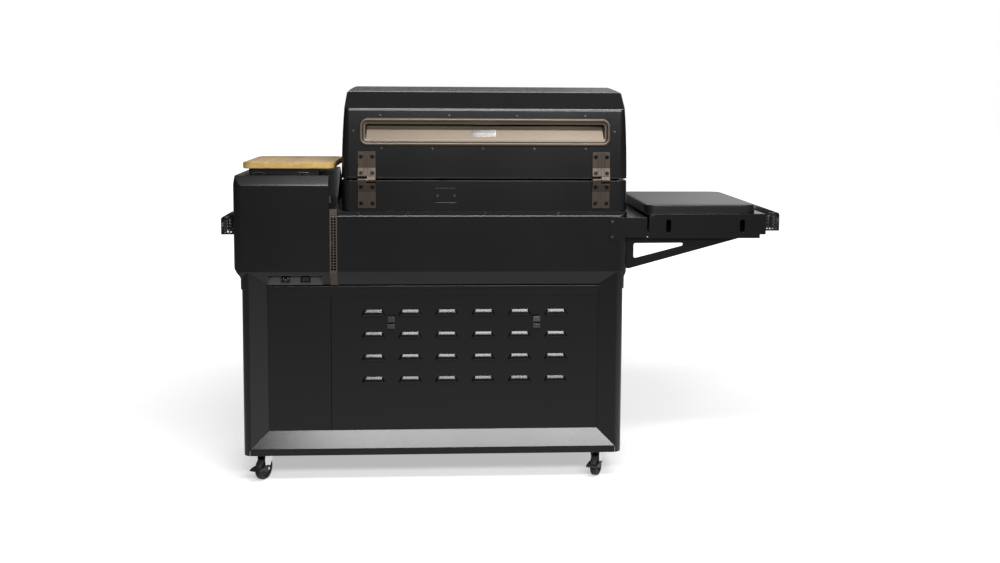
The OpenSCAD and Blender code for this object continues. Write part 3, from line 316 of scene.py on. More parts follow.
def refined(node, material, fold=0.0, edge=0.5 * MM, sheet=3.6 * MM, segments=3):
    """A CAD node's own shape with folds rounded by one radius and sheet edges by a smaller one."""
    sharp = math.radians(16.5)
    mesh = NODES[node].data.copy()
    bm = bmesh.new()
    bm.from_mesh(mesh)
    bmesh.ops.remove_doubles(bm, verts=bm.verts, dist=0.01 * MM)
    bmesh.ops.dissolve_limit(bm, angle_limit=math.radians(0.6), verts=bm.verts, edges=bm.edges)
    weight = bm.edges.layers.float.new("bevel_weight_edge")
    widest = max(fold, edge)
    for e in bm.edges:
        if len(e.link_faces) == 2 and e.calc_face_angle(0) > sharp:
            slim = any(thin_face(f, sheet) for f in e.link_faces)
            e[weight] = (edge if slim or fold == 0 else fold) / widest
    for face in bm.faces:
        face.smooth = True
    bm.to_mesh(mesh)
    bm.free()
    mesh.name = node + "_refined"
    obj = bpy.data.objects.new(node + "_refined", mesh)
    bpy.context.scene.collection.objects.link(obj)
    bevel = obj.modifiers.new("edges", "BEVEL")
    bevel.width = widest
    bevel.segments = segments
    bevel.limit_method = "WEIGHT"
    bevel.use_clamp_overlap = fold == 0
    flat_faces(obj)
    return settle(obj, node, material, node)


def second_material(obj, material, chosen):
    """Gives another material to the faces whose centre is chosen."""
    obj.data.materials.append(material)
    for face in obj.data.polygons:
        if chosen(face.center):
            face.material_index = 1


def ring_points(width, height, radius, steps=8):
    """Points round a rectangle with round corners, about its centre."""
    points = []
    for k, (sx, sy) in enumerate(((1, 1), (-1, 1), (-1, -1), (1, -1))):
        cx = sx * (width / 2 - radius)
        cy = sy * (height / 2 - radius)
        for i in range(steps + 1):
            a = math.radians(90 * (k + i / steps))
            points.append((cx + radius * math.cos(a), cy + radius * math.sin(a)))
    return points


def loft(bm, rings, closed=True, caps=(True, True)):
    """Joins rings of equal numbers of points with faces."""
    rows = [[bm.verts.new(p) for p in ring] for ring in rings]
    n = len(rows[0])
    for low, high in zip(rows, rows[1:]):
        for i in range(n if closed else n - 1):
            j = (i + 1) % n
            bm.faces.new((low[i], low[j], high[j], high[i]))
    if caps[0]:
        bm.faces.new(rows[0][::-1])
    if caps[1]:
        bm.faces.new(rows[-1])
    return rows


def tube(bm, start, end, radius, sides=12):
    """A bar with slightly rounded ends."""
    start, end = Vector(start), Vector(end)
    turn = (end - start).to_track_quat("Z", "Y").to_matrix()
    length = (end - start).length
    soft = radius * 0.25
    rings = []
    for z, r in ((0, radius - soft), (soft, radius), (length - soft, radius), (length, radius - soft)):
        rings.append([
            start + turn @ Vector((r * math.cos(2 * math.pi * i / sides),
                r * math.sin(2 * math.pi * i / sides), z))
            for i in range(sides)])
    loft(bm, rings)


def lathe(bm, profile, place, sides=48, bored=False):
    """Turns (radius, height) points about the Z axis and places the result with a matrix.
    A bored one joins its last points to its first ones, and any other is capped."""
    rings = []
    for radius, height in profile:
        rings.append([
            place @ Vector((radius * math.cos(2 * math.pi * i / sides),
                radius * math.sin(2 * math.pi * i / sides), height))
            for i in range(sides)])
    if not bored:
        loft(bm, rings, caps=(profile[0][0] > 1e-6, profile[-1][0] > 1e-6))
        return
    rows = loft(bm, rings, caps=(False, False))
    for i in range(sides):
        j = (i + 1) % sides
        bm.faces.new((rows[-1][i], rows[-1][j], rows[0][j], rows[0][i]))


def pattern_sheet(bm, origin, across, up, cells, pitch, radius, margin):
    """A flat sheet with rows of round holes and a plain margin round them.
    across and up are unit vectors, and cells is (columns, rows)."""
    sides = 12
    columns, rows = cells
    width = columns * pitch[0]
    height = rows * pitch[1]

    def at(u, v):
        return origin + across * u + up * v

    grid = {}

    def corner(u, v):
        key = (round(u / MM, 3), round(v / MM, 3))
        if key not in grid:
            grid[key] = bm.verts.new(at(u, v))
        return grid[key]

    for i in range(columns):
        for j in range(rows):
            cu = (i + 0.5) * pitch[0]
            cv = (j + 0.5) * pitch[1]
            circle = []
            square = []
            for k in range(sides):
                a = 2 * math.pi * (k + 0.5) / sides - math.pi / 4 - math.pi / sides
                edge = at(cu + radius * math.cos(a), cv + radius * math.sin(a))
                circle.append(bm.verts.new(edge))
                side, part = divmod(k, sides // 4)
                t = part / (sides // 4)
                ends = ((0.5, -0.5), (0.5, 0.5), (-0.5, 0.5), (-0.5, -0.5), (0.5, -0.5))
                u = ends[side][0] * (1 - t) + ends[side + 1][0] * t
                v = ends[side][1] * (1 - t) + ends[side + 1][1] * t
                square.append(corner(cu + u * pitch[0], cv + v * pitch[1]))
            for k in range(sides):
                after = (k + 1) % sides
                bm.faces.new((circle[k], square[k], square[after], circle[after]))
    for low, high in (((-margin[0], -margin[1]), (width + margin[0], 0)),
            ((-margin[0], height), (width + margin[0], height + margin[1])),
            ((-margin[0], 0), (0, height)), ((width, 0), (width + margin[0], height))):
        if high[0] - low[0] > 1e-6 and high[1] - low[1] > 1e-6:
            bm.faces.new([bm.verts.new(at(u, v)) for u, v in (
                low, (high[0], low[1]), high, (low[0], high[1]))])


def thicken(obj, thickness):
    """Gives a sheet its thickness on the inner side of its faces."""
    solid = obj.modifiers.new("thickness", "SOLIDIFY")
    solid.thickness = thickness
    solid.offset = -1
    solid.use_even_offset = True


# ---------------------------------------------------------------- sheet metal body


def sheet_metal():
    """The powder coated sheets that keep their CAD shape, with rounded folds."""
    folds = {
        "corner_posts": 1.2, "frame_rails": 1.2, "post_caps": 1.0, "side_panels": 0.8,
        "bin_panel": 0, "base_pan": 0.8, "body_shell": 2.2, "hopper_shell": 3.0,
        "barrel_ring": 1.2, "lid_shell": 6.0, "shelf_frame": 0.8, "shelf_brackets": 0,
        "shelf_tray": 1.2, "door_left": 2.0, "door_right": 2.0, "hopper_lid_frame": 1.5,
    }
    for node, fold in folds.items():
        refined(node, POWDER, fold * MM)
    refined("service_plate", POWDER, edge=0.9 * MM)
    refined("cord_hooks", CLEAT, 0.9 * MM)


def louvre_layout():
    """Centres and size of the louvres, read from the CAD panel's raised points."""
    face_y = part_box("bin_panel")[1].y
    raised = [v.co for v in NODES["rear_panel"].data.vertices if v.co.y > face_y + 4 * MM]
    x0, x1 = min(p.x for p in raised), max(p.x for p in raised)
    z0, z1 = min(p.z for p in raised), max(p.z for p in raised)
    return face_y, (x0, x1), (z0, z1)


def rear_panel():
    """The rear panel with pressed louvres over open slots."""
    columns, rows = 6, 4
    low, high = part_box("rear_panel")
    face_y, (x0, x1), (z0, z1) = louvre_layout()
    wide = 38.5 * MM
    narrow = 28.5 * MM
    tall = 20 * MM
    reach = high.y - face_y
    slope = 8.5 * MM
    slope_share = 5 / 9
    pitch_x = (x1 - x0 - 2 * wide) / (columns - 1)
    bottom = z0
    top = z1 + 7 * MM
    pitch_z = (top - bottom - tall) / (rows - 1)
    centres_x = [x0 + wide + i * pitch_x for i in range(columns)]
    tops_z = [top - j * pitch_z for j in range(rows)]

    def plate(bm):
        """The flat sheet, left open behind each louvre."""
        xs = [low.x] + [x for c in centres_x for x in (c - narrow, c + narrow)] + [high.x]
        slots = sorted(z for t in tops_z for z in (t - tall + 1.5 * MM, t - 4 * MM))
        zs = [low.z] + slots + [high.z]
        grid = [[bm.verts.new((x, face_y, z)) for z in zs] for x in xs]
        for i in range(len(xs) - 1):
            for j in range(len(zs) - 1):
                if i % 2 == 1 and j % 2 == 1:
                    continue
                bm.faces.new((grid[i][j], grid[i + 1][j], grid[i + 1][j + 1], grid[i][j + 1]))

    behind = Vector((0, 50 * MM, 0))
    sheet = new_object("rear_panel_sheet", plate, lambda p: p - behind)
    thicken(sheet, 2 * MM)
    bevelled(sheet, 0.5 * MM)
    settle(sheet, "rear_panel", POWDER, "rear_panel")

    def hoods(bm):
        """Each louvre slopes out from its top, then falls steeply to an open foot."""
        across, down = 20, 9
        for cx in centres_x:
            for tz in tops_z:
                rows_made = []
                for j in range(down + 1):
                    v = j / down
                    if v < slope_share:
                        s = v / slope_share
                        z = tz - slope * s
                        out = reach * 0.85 * s
                    else:
                        s = (v - slope_share) / (1 - slope_share)
                        z = tz - slope - (tall - slope) * s
                        out = reach * (0.85 + 0.15 * s)
                    half = narrow + (wide - narrow) * min(1, (tz - z) / tall)
                    line = []
                    for i in range(across + 1):
                        u = -1 + 2 * i / across
                        x = half * math.copysign(abs(u) ** 0.8, u)
                        side = (half - abs(x)) / (7 * MM)
                        rise = 1 if side > 1 else math.sin(max(side, 0) * math.pi / 2) ** 1.2
                        line.append(bm.verts.new((cx + x, face_y + 0.1 * MM + out * rise, z)))
                    rows_made.append(line)
                for a, b in zip(rows_made, rows_made[1:]):
                    for i in range(across):
                        bm.faces.new((a[i], a[i + 1], b[i + 1], b[i]))

    hood = new_object("rear_panel_louvres", hoods, lambda p: p - behind)
    thicken(hood, 1.2 * MM)
    settle(hood, "rear_panel", POWDER)

    def flange(bm):
        corner = Vector((high.x, face_y, low.z + 5 * MM))
        size = Vector((-2 * MM, low.y - face_y, high.z - low.z - 10 * MM))
        bmesh.ops.create_cube(bm, size=1, matrix=Matrix.Translation(corner + size / 2)
            @ Matrix.Diagonal((abs(size.x), abs(size.y) - 4 * MM, size.z, 1)))

    fold = new_object("rear_panel_fold", flange)
    bevelled(fold, 0.4 * MM)
    settle(fold, "rear_panel", POWDER)


def rail(name, node, start, along, out, length, reach, height, spacer):
    """A folded rail: a hollow spacer on the wall, a top, a round edge and a perforated face."""
    up = Vector((0, 0, 1))
    radius = 9 * MM
    sheet = 3 * MM
    pitch = 9.3 * MM
    margin_low = 4 * MM

    def skin(bm):
        line = [(0, 0), (reach - radius, 0)]
        line += [(reach - radius + radius * math.sin(math.radians(a)),
            -radius + radius * math.cos(math.radians(a))) for a in (15, 30, 45, 60, 75, 90)]
        rings = [[start + along * s + out * x + up * z for x, z in line] for s in (0, length)]
        loft(bm, rings, closed=False, caps=(False, False))
        perforated(bm, start + out * reach, along, length)

    def perforated(bm, corner, across, wide):
        """The upright part of a face below the rounded edge, with its holes."""
        columns = int((wide - 8 * MM) / pitch)
        tall = height - radius - 2 * margin_low
        rows = int(tall / pitch)
        side = (wide - columns * pitch) / 2
        origin = corner + across * side + up * (margin_low - height)
        pattern_sheet(bm, origin, across, up, (columns, rows), (pitch, tall / rows), 2.9 * MM,
            (side, margin_low))

    def ends(bm):
        for s in (1 * MM, length - 1 * MM):
            corner = start + along * s
            perforated(bm, corner, out, reach - 0.5 * MM)
            line = [(0, -radius), (reach - 0.5 * MM, -radius)]
            line += [(reach - radius + (radius - 0.5 * MM) * math.cos(math.radians(a)),
                -radius + (radius - 0.5 * MM) * math.sin(math.radians(a))) for a in (30, 60, 90)]
            line.append((0, -0.5 * MM))
            bm.faces.new([bm.verts.new(corner + out * x + up * z) for x, z in line])

    def inside(p):
        middle = start + out * (reach / 2) - up * (height / 2)
        return middle + along * (p - start).dot(along)

    middle = start + along * (length / 2) + out * (reach / 2) - up * (height / 2)
    closed_ends = new_object(name + "_ends", ends, lambda p: middle)
    thicken(closed_ends, 1.6 * MM)
    settle(closed_ends, node, POWDER)

    face = new_object(name + "_face", skin, inside)
    thicken(face, sheet)
    settle(face, node, POWDER, node)

    def box(bm):
        depth = spacer + sheet
        tall = height - 12 * MM
        outline = [(0, 0), (depth, 0), (depth, -tall), (0, -tall)]
        inner = [(sheet, -sheet), (spacer, -sheet), (spacer, sheet - tall), (sheet, sheet - tall)]
        rings = []
        for s, shape in ((0, inner), (0, outline), (length, outline), (length, inner)):
            rings.append([start + along * s + out * x + up * (z - sheet * 1.02) for x, z in shape])
        rows = loft(bm, rings, caps=(False, False))
        n = len(rows[0])
        for i in range(n):
            j = (i + 1) % n
            bm.faces.new((rows[3][i], rows[3][j], rows[0][j], rows[0][i]))

    spacer_box = new_object(name + "_spacer", box)
    bevelled(spacer_box, 0.6 * MM)
    settle(spacer_box, node, POWDER)


def rails():
    """The three accessory rails, from the boxes of their CAD nodes."""
    x = Vector((1, 0, 0))
    y = Vector((0, 1, 0))
    low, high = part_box("accessory_rails")
    wall_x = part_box("hopper_shell")[1].x
    wall_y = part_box("hopper_shell")[0].y
    centre_y = (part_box("hopper_shell")[0].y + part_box("hopper_shell")[1].y) / 2
    reach = high.x - wall_x
    half = 240 * MM
    rail("hopper_end_rail", "accessory_rails", Vector((wall_x, centre_y - half, high.z)), y, x,
        2 * half, reach, high.z - low.z, 17 * MM)
    front = [v.co.x for v in NODES["accessory_rails"].data.vertices if v.co.y < wall_y - 25 * MM]
    rail("front_rail", "accessory_rails", Vector((min(front), wall_y, high.z)), x, -y,
        max(front) - min(front), wall_y - low.y, high.z - low.z, 17 * MM)
    low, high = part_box("shelf_rail")
    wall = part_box("shelf_tray")[0].x
    rail("shelf_end_rail", "shelf_rail", Vector((wall, low.y, high.z)), y, -x,
        high.y - low.y, wall - low.x, high.z - low.z, 22 * MM)


# ---------------------------------------------------------------- lid details


def exhaust_surround():
    """The drawn surround: a round bead, a stepped recess and a leaning back under the slot."""
    low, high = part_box("exhaust_surround")
    bead_height = 8 * MM
    lid_face = high.y - bead_height
    centre = Vector(((low.x + high.x) / 2, lid_face, (low.z + high.z) / 2))
    width, height = high.x - low.x, high.z - low.z
    corner = 26 * MM
    profile = [
        (0, 0), (0.3, 3.4), (1.6, 6.2), (4.0, 7.8), (7.0, 8.0), (9.6, 7.2), (11.4, 5.4), (12.2, 3.2),
        (13.2, 1.6), (15.0, 0.9), (18.5, 0.7), (20.2, -0.2), (20.9, -2.2), (21.1, -33.9), (22.4, -33.9),
    ]

    def frame_shape(bm):
        rings = []
        for inset, out in profile:
            d = inset * MM
            points = ring_points(width - 2 * d, height - 2 * d, max(corner - d, 5 * MM))
            rings.append([centre + Vector((x, out * MM, z)) for x, z in points])
        loft(bm, rings, caps=(False, False))

    bead = new_object("exhaust_surround_bead", frame_shape)
    settle(bead, "exhaust_surround", DEEP_BRONZE, "exhaust_surround")

    def back_shape(bm):
        half = width / 2 - 21.5 * MM
        shape = [(0.2, 18.2), (1.0, 19.0), (0.8, 20.4), (-27.5, 62.6), (-28.5, 63.6), (-31.0, 63.9),
            (-32.0, 63.2)]
        foot = shape[0][1]
        rows = []
        for side in (-1, 1):
            rows.append([
                centre + Vector((side * (half - (z - foot) * 0.07 * MM), y * MM, z * MM - height / 2))
                for y, z in shape])
        loft(bm, rows, closed=False, caps=(False, False))

    back = new_object("exhaust_back", back_shape)
    thicken(back, 1.2 * MM)
    flat_faces(back)
    settle(back, "exhaust_surround", BRONZE)


def hinges():
    """Cover plates of the hinges and their ribs, in a deeper bronze than the surround."""
    refined("hinge_lid_leaves", HINGE_BRONZE, edge=0.5 * MM)
    base = refined("hinge_base_leaves", HINGE_BRONZE, edge=0.5 * MM)
    hopper_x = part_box("hopper_shell")[0].x
    second_material(base, POWDER, lambda p: p.x > hopper_x)
    refined("hinge_pins", ZINC, edge=0.4 * MM)


def screws():
    """Screw heads, and the darker bolts of the two lid hinges."""
    low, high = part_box("hinge_lid_leaves")
    leaf = 56 * MM
    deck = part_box("barrel_ring")[0].z + 5 * MM

    def on_hinge(p):
        return p.z > deck and (low.x < p.x < low.x + leaf or high.x - leaf < p.x < high.x)

    for node in ("case_screws", "lid_screws"):
        second_material(refined(node, SCREW, edge=0.45 * MM), BOLT, on_hinge)


def lid_handle():
    """A turned bar with rounded caps between two stand-offs."""
    low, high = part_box("lid_handle")
    bar_r = 12 * MM
    y = low.y + bar_r
    z = (low.z + high.z) / 2

    def bar(bm):
        place = Matrix.Translation((low.x, y, z)) @ Matrix.Rotation(math.pi / 2, 4, "Y")
        length = high.x - low.x
        cap = 6 * MM
        profile = [(0, 0)]
        for degrees in range(0, 91, 15):
            a = math.radians(degrees)
            profile.append((bar_r - cap + cap * math.sin(a), cap - cap * math.cos(a)))
        groove = 20 * MM
        profile += [(bar_r, groove), (bar_r - 0.8 * MM, groove + 0.6 * MM),
            (bar_r - 0.8 * MM, groove + 2 * MM), (bar_r, groove + 2.6 * MM)]
        profile += [(r, length - h) for r, h in profile[::-1]]
        lathe(bm, profile, place)

    grip = new_object("lid_handle_bar", bar)
    settle(grip, "lid_handle", BRONZE, "lid_handle")

    def stands(bm):
        for x in (low.x + 60 * MM, high.x - 60 * MM):
            wide, tall = 22 * MM, 18 * MM
            rings = []
            for w, h, depth in ((wide, tall, y), (wide, tall, high.y - 9 * MM),
                    (wide + 5 * MM, tall + 8 * MM, high.y - 6.5 * MM),
                    (40 * MM, 48 * MM, high.y - 4 * MM), (40 * MM, 52 * MM, high.y - 3 * MM),
                    (40 * MM, 52 * MM, high.y)):
                rings.append([Vector((x + a, depth, z + b)) for a, b in ring_points(w, h, 4 * MM, 4)])
            loft(bm, rings)

    settle(new_object("lid_handle_stands", stands), "lid_handle", DEEP_BRONZE)


# ---------------------------------------------------------------- hopper


def hopper_board():
    """The bamboo board: an outline with large front and small rear corners and a rolled edge."""
    low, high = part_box("hopper_board")
    near, far = 25 * MM, 40 * MM
    roll = 3 * MM

    def outline(inset):
        points = []
        corners = ((high.x, high.y, near, 0), (low.x, high.y, near, 90),
            (low.x, low.y, far, 180), (high.x, low.y, far, 270))
        for x, y, radius, turn in corners:
            cx = x - math.copysign(radius, x - (low.x + high.x) / 2)
            cy = y - math.copysign(radius, y - (low.y + high.y) / 2)
            for i in range(9):
                a = math.radians(turn + 90 * i / 8)
                reach = radius - inset
                points.append((cx + reach * math.cos(a), cy + reach * math.sin(a)))
        return points

    def board(bm):
        rings = []
        for i in range(5):
            a = math.radians(90 * i / 4)
            rings.append((roll * (1 - math.sin(a)), low.z + roll * (1 - math.cos(a))))
        rings += [(inset, high.z - (z - low.z)) for inset, z in rings[::-1]]
        loft(bm, [[Vector((x, y, z)) for x, y in outline(inset)] for inset, z in rings])

    settle(new_object("hopper_board_bamboo", board), "hopper_board", BAMBOO, "hopper_board")


def controller():
    """The control housing, its glass and a ring round the power button."""
    refined("controller", PLASTIC, edge=1.2 * MM, segments=4)
    refined("power_button", STEEL, edge=0.6 * MM)
    tilt = math.radians(34.5)
    low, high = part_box("controller")
    centre = (low + high) / 2
    normal = Vector((0, -math.sin(tilt), math.cos(tilt)))
    down = Vector((0, -math.cos(tilt), -math.sin(tilt)))
    right = Vector((1, 0, 0))
    housing_lift = 4.6
    glass_w, glass_h = 149, 87
    face = centre + normal * housing_lift * MM

    def glass(bm):
        middle = face + right * (-18 * MM) - down * (8 * MM)
        rings = []
        for inset, lift in ((0, -1.2), (0, -0.4), (0.5, 0.0)):
            rings.append([middle + right * x + down * y + normal * lift * MM
                for x, y in ring_points((glass_w - 2 * inset) * MM, (glass_h - 2 * inset) * MM,
                    4 * MM)])
        loft(bm, rings)

    settle(new_object("controller_glass", glass), "controller", DISPLAY)

    def trim(bm):
        middle = face + right * (84 * MM) + down * (38 * MM)
        turn = Matrix((right, -down, normal)).transposed().to_4x4()
        place = Matrix.Translation(middle) @ turn
        lathe(bm, [(9.05 * MM, -0.5 * MM), (9.1 * MM, 0.5 * MM), (10.2 * MM, 0.9 * MM),
            (11.4 * MM, 0.5 * MM), (11.6 * MM, -0.5 * MM)], place, 48, bored=True)

    settle(new_object("button_ring", trim), "controller", STEEL)


def inlets():
    """The folded inlet plate, the two sockets and the bright blades in them."""
    refined("inlet_plate", DARK_GREY, edge=0.5 * MM)
    refined("power_sockets", PLASTIC, edge=0.5 * MM)
    low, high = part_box("power_sockets")
    floor_y = high.y - 19 * MM
    inlet_x = high.x - 15 * MM

    def blades(bm):
        for dx, z in ((-7, 15), (0, 10), (7, 15)):
            place = Matrix.Translation((inlet_x + dx * MM, floor_y + 7.6 * MM, low.z + z * MM))
            bmesh.ops.create_cube(bm, size=1,
                matrix=place @ Matrix.Diagonal((2.3 * MM, 15 * MM, 5.4 * MM, 1)))

    pins = new_object("inlet_blades", blades)
    bevelled(pins, 0.4 * MM)
    settle(pins, "power_sockets", ZINC)


# ---------------------------------------------------------------- side shelf


def cooktop_cover():
    """The cover: a flat slab with an upright side and a narrow rolled edge."""
    low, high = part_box("cooktop_cover")
    centre = (low + high) / 2
    width, depth, height = high.x - low.x, high.y - low.y, high.z - low.z
    profile = [
        (3.2, 3.0), (3.2, 0.0), (0.6, 0.0), (0.0, 0.6), (0.0, 12.0), (0.0, 23.6), (0.3, 24.8),
        (1.0, 25.9), (2.2, 26.7), (4.0, 27.2), (8.0, 27.6), (14.0, 27.9), (20.0, 28.0),
    ]
    scale = height / (28.0 * MM)

    def slab(bm):
        rings = []
        for inset, z in profile:
            d = inset * MM
            points = ring_points(width - 2 * d, depth - 2 * d, max(36 * MM - d * 0.6, 12 * MM))
            level = low.z + z * MM * scale
            rings.append([Vector((centre.x + x, centre.y + y, level)) for x, y in points])
        loft(bm, rings, caps=(False, True))

    cover = new_object("cooktop_cover_slab", slab)
    flat_faces(cover)
    settle(cover, "cooktop_cover", SATIN, "cooktop_cover")


def cooktop():
    """The glass plate, its case and the printed ring of the cooking zone."""
    refined("cooktop", GLASS, edge=0.8 * MM)
    low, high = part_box("cooktop")
    centre = Vector(((low.x + high.x) / 2, (low.y + high.y) / 2 + 0.02, high.z + 0.05 * MM))

    def rings(bm):
        for radius, width in ((0.11, 1.6 * MM), (0.07, 1.0 * MM)):
            place = Matrix.Translation(centre)
            lathe(bm, [(radius, 0), (radius, 0.08 * MM), (radius + width, 0.08 * MM),
                (radius + width, 0)], place, 72, bored=True)

    settle(new_object("cooktop_zone_rings", rings), "cooktop", DARK_GREY)


# ---------------------------------------------------------------- inside the barrel


def grates():
    """Round bars welded under a frame, with two cross rods."""
    for node, pitch in (("lower_grate", 21 * MM), ("upper_grate", 25 * MM)):
        low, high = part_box(node)
        top = high.z
        r = 2.6 * MM

        def bars(bm):
            count = round((high.x - low.x) / pitch)
            step = (high.x - low.x - 4 * r) / count
            for i in range(count + 1):
                x = low.x + 2 * r + i * step
                tube(bm, (x, low.y + r, top - r), (x, high.y - r, top - r), r, 10)
            for y in (low.y + r, high.y - r):
                tube(bm, (low.x + r, y, top - r), (high.x - r, y, top - r), r, 10)
            for x in (low.x + r, high.x - r):
                tube(bm, (x, low.y + r, top - r), (x, high.y - r, top - r), r, 10)
            for share in (1 / 3, 2 / 3):
                y = low.y + (high.y - low.y) * share
                tube(bm, (low.x + r, y, top - 3 * r), (high.x - r, y, top - 3 * r), r, 10)
            if node == "upper_grate":
                for x in (low.x + r + 1.5 * MM, high.x - r - 1.5 * MM):
                    for y in (low.y + r + 1.5 * MM, high.y - r - 1.5 * MM):
                        tube(bm, (x, y, low.z), (x, y, top - r), r * 1.3, 10)

        settle(new_object(node + "_bars", bars), node, ENAMEL, node)


def auger():
    """The auger's shaft and its screw flight."""
    low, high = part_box("auger")
    centre_y, centre_z = (low.y + high.y) / 2, (low.z + high.z) / 2
    outer = (high.z - low.z) / 2
    shaft = 8 * MM
    pitch = 50 * MM
    turns = 12
    steps = 28

    def flight(bm):
        tube(bm, (low.x, centre_y, centre_z), (high.x, centre_y, centre_z), shaft, 32)
        rows = []
        for i in range(turns * steps + 1):
            a = 2 * math.pi * i / steps
            x = low.x + 12 * MM + pitch * i / steps
            rows.append([
                Vector((x, centre_y + r * math.cos(a), centre_z + r * math.sin(a)))
                for r in (shaft * 0.9, outer * 0.7, outer)])
            rows[-1] += [p + Vector((2.5 * MM, 0, 0)) for p in rows[-1][::-1]]
        loft(bm, rows)

    settle(new_object("auger_flight", flight), "auger", STEEL, "auger")


def inner_parts():
    """The tub, trays, bin and fan that show when the lids and doors are open."""
    for node, material, fold in (
            ("barrel_tub", ENAMEL, 2.0), ("drip_tray", ENAMEL, 1.0), ("hopper_bin", ENAMEL, 1.0),
            ("ash_keg", ENAMEL, 0), ("fire_pot", STEEL, 1.0), ("auger_tube", STEEL, 0),
            ("fan_housing", PLASTIC, 0), ("fan_wheel", ZINC, 0)):
        refined(node, material, fold * MM, 0.5 * MM)


# ---------------------------------------------------------------- doors and casters


def door_handles():
    """Round bars with domed ends on two short posts."""
    for node in ("handle_left", "handle_right"):
        low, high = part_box(node)
        x = (low.x + high.x) / 2
        r = (high.x - low.x) / 2
        y = low.y + r

        def grip(bm):
            place = Matrix.Translation((x, y, low.z))
            length = high.z - low.z
            cap = r * 0.6
            profile = [(0, 0)] + [
                (r - cap + cap * math.sin(math.radians(a)), cap - cap * math.cos(math.radians(a)))
                for a in range(0, 91, 15)]
            profile += [(radius, length - h) for radius, h in profile[::-1]]
            lathe(bm, profile, place, 32)
            for z in (low.z + 20 * MM, high.z - 20 * MM):
                turn = Matrix.Translation((x, y, z)) @ Matrix.Rotation(-math.pi / 2, 4, "X")
                reach = high.y - y
                lathe(bm, [(5 * MM, 0), (5 * MM, reach - 3 * MM), (8.5 * MM, reach - 2.2 * MM),
                    (9 * MM, reach - 1.2 * MM), (9 * MM, reach)], turn, 32)

        settle(new_object(node + "_bar", grip), node, BRONZE, node)


def casters():
    """Wheels with a ribbed hub and a round tread, forks, and pedals."""
    swivel = math.radians(-25)
    for i in range(1, 5):
        node = f"wheel_{i}"
        low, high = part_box(node)
        centre = (low + high) / 2
        radius = (high.z - low.z) / 2
        half = 11 * MM
        place = (Matrix.Translation(centre) @ Matrix.Rotation(swivel, 4, "Z")
            @ Matrix.Rotation(math.pi / 2, 4, "Y"))

        def tyre(bm):
            lathe(bm, [(radius - 9 * MM, half), (radius - 5 * MM, half),
                (radius - 2.2 * MM, half - 1 * MM), (radius - 0.6 * MM, half - 3 * MM),
                (radius, half - 6 * MM), (radius, 6 * MM - half),
                (radius - 0.6 * MM, 3 * MM - half), (radius - 2.2 * MM, 1 * MM - half),
                (radius - 5 * MM, -half), (radius - 9 * MM, -half)], place, 72, bored=True)

        settle(new_object(f"wheel_{i}_tread", tyre), node, TREAD, node)

        def hub(bm):
            lathe(bm, [(4.1 * MM, half), (11 * MM, half), (12.5 * MM, half - 0.8 * MM),
                (14 * MM, half - 3 * MM), (radius - 11 * MM, half - 3 * MM),
                (radius - 9.6 * MM, half - 0.6 * MM), (radius - 8.8 * MM, half - 0.2 * MM),
                (radius - 8.8 * MM, 0.2 * MM - half), (radius - 9.6 * MM, 0.6 * MM - half),
                (radius - 11 * MM, 3 * MM - half), (14 * MM, 3 * MM - half),
                (12.5 * MM, 0.8 * MM - half), (11 * MM, -half), (4.1 * MM, -half)], place, 72,
                bored=True)
            for k in range(8):
                a = math.pi / 4 * k
                for side in (-1, 1):
                    rib = Matrix.Rotation(a, 4, "Z") @ Matrix.Translation(
                        (19.5 * MM, 0, side * (half - 2.4 * MM)))
                    bmesh.ops.create_cube(bm, size=1,
                        matrix=place @ rib @ Matrix.Diagonal((14 * MM, 2 * MM, 2.4 * MM, 1)))

        settle(new_object(f"wheel_{i}_hub", hub), node, PLASTIC)
        refined(f"fork_{i}", ZINC, edge=0.7 * MM, sheet=3.2 * MM)
    for i in (1, 2):
        refined(f"brake_{i}", PLASTIC, edge=0.9 * MM, sheet=3.4 * MM)


# ---------------------------------------------------------------- stage


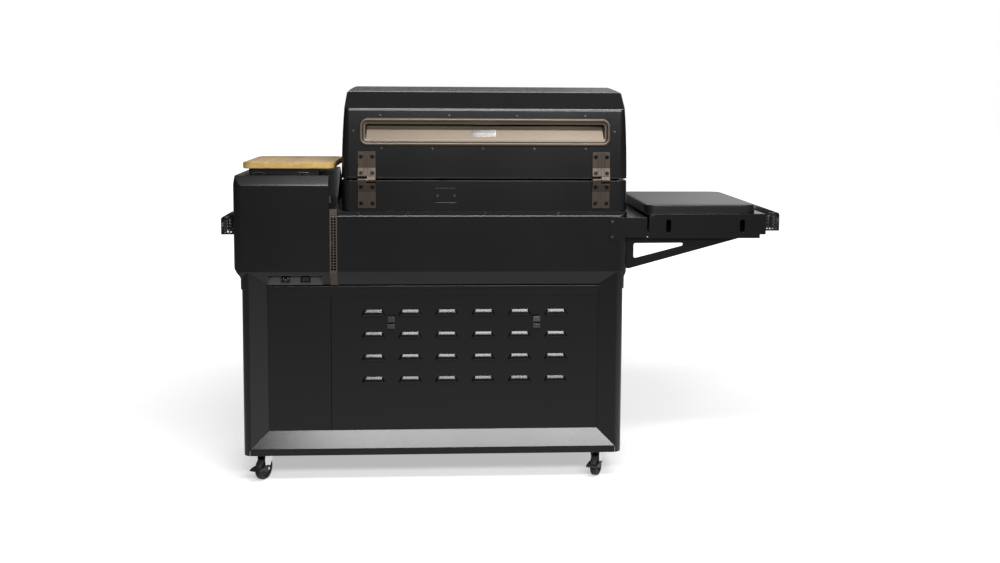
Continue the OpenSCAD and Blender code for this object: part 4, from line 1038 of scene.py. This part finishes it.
def stage():
    """A pale floor that glows with painted light, soft lights and the camera behind the grill."""

    def ground(bm):
        size = 30
        rows = [[bm.verts.new((x * size, y * size, 0)) for x in (-1, 0, 1)] for y in (-1, 0, 1)]
        for a, b in zip(rows, rows[1:]):
            for i in range(2):
                bm.faces.new((a[i], a[i + 1], b[i + 1], b[i]))

    floor = new_object("floor", ground)
    floor.data.materials.append(pale_glowing_floor())
    floor.visible_glossy = False
    floor.visible_diffuse = False

    world = bpy.data.worlds.new("studio")
    bpy.context.scene.world = world
    world.use_nodes = True
    tree = world.node_tree
    direction = tree.nodes.new("ShaderNodeTexCoord")
    split = tree.nodes.new("ShaderNodeSeparateXYZ")
    tree.links.new(direction.outputs["Generated"], split.inputs[0])

    def ranged(socket, low, high, at_low, at_high):
        node = tree.nodes.new("ShaderNodeMapRange")
        ends = {"From Min": low, "From Max": high, "To Min": at_low, "To Max": at_high}
        for key, value in ends.items():
            node.inputs[key].default_value = value
        tree.links.new(socket, node.inputs["Value"])
        return node

    def joined(operation, a, b):
        node = tree.nodes.new("ShaderNodeMath")
        node.operation = operation
        tree.links.new(a.outputs[0], node.inputs[0])
        tree.links.new(b.outputs[0], node.inputs[1])
        return node

    # Reflections see a dark room, pale below the horizon and beyond the grill. The camera sees white.
    ground_glow = ranged(split.outputs["Z"], -0.32, -0.1, 0.62, 0.03)
    shelf_side = ranged(split.outputs["X"], -0.65, -0.35, 2.0, 1.0)
    screen = ranged(split.outputs["Y"], -0.75, -0.25, 0.78, 0.0)
    one_side = ranged(split.outputs["X"], -0.24, -0.1, 1.0, 0.12)
    lit = joined("MAXIMUM", joined("MULTIPLY", ground_glow, shelf_side),
        joined("MULTIPLY", screen, one_side))
    rays = tree.nodes.new("ShaderNodeLightPath")
    seen = ranged(rays.outputs["Is Camera Ray"], 0, 1, 0, 1)
    tree.links.new(lit.outputs[0], seen.inputs["To Min"])
    tree.links.new(seen.outputs[0], tree.nodes["Background"].inputs["Strength"])
    tree.nodes["Background"].inputs["Color"].default_value = (1, 1, 1, 1)

    def lamp(name, light, place, aim):
        obj = bpy.data.objects.new(name, light)
        obj.location = place
        obj.rotation_mode = "QUATERNION"
        obj.rotation_quaternion = (Vector(aim) - Vector(place)).to_track_quat("-Z", "Y")
        obj.visible_camera = False
        bpy.context.scene.collection.objects.link(obj)

    def softbox(name, place, aim, size, power):
        light = bpy.data.lights.new(name, "AREA")
        light.shape = "RECTANGLE"
        light.size, light.size_y = size
        light.energy = power
        lamp(name, light, place, aim)

    overhead = bpy.data.lights.new("overhead", "SUN")
    overhead.energy = 0.35
    overhead.angle = math.radians(85)
    lamp("overhead", overhead, (0, 0, 5), (0, 0, 0))
    softbox("rear_softbox", (-0.24, 3.0, 1.92), (-0.24, 0.3, 0.1), (2.66, 0.5), 86)
    softbox("rear_high_softbox", (-0.3, 1.9, 2.78), (-0.1, 0.3, 0.45), (2.0, 0.34), 58)
    softbox("front_softbox", (0.6, -3.4, 3.6), (0.2, -0.2, 0.6), (3.4, 1.4), 60)

    camera_data = bpy.data.cameras.new("camera")
    camera = bpy.data.objects.new("camera", camera_data)
    bpy.context.scene.collection.objects.link(camera)
    yaw, pitch, roll = 0.0547, 0.0910, 0.0057
    camera.location = (0.2063, 3.8405, 1.2571)
    look = Vector((-math.sin(yaw) * math.cos(pitch), -math.cos(yaw) * math.cos(pitch),
        -math.sin(pitch)))
    camera.rotation_mode = "QUATERNION"
    camera.rotation_quaternion = look.to_track_quat("-Z", "Y") @ Matrix.Rotation(
        roll, 3, "Z").to_quaternion()
    camera_data.sensor_width = 36
    camera_data.lens = 40.25
    camera_data.shift_y = -0.0862
    bpy.context.scene.camera = camera
    bpy.context.scene.view_settings.view_transform = "Standard"


# ---------------------------------------------------------------- the grill

sheet_metal()
rear_panel()
rails()
exhaust_surround()
refined("badge_plate", NAMEPLATE, edge=0.35 * MM, sheet=0.5 * MM)
hinges()
screws()
lid_handle()
hopper_board()
controller()
inlets()
refined("vent_strip", DEEP_BRONZE, edge=0.3 * MM)
cooktop_cover()
cooktop()
grates()
auger()
inner_parts()
door_handles()
casters()
stage()
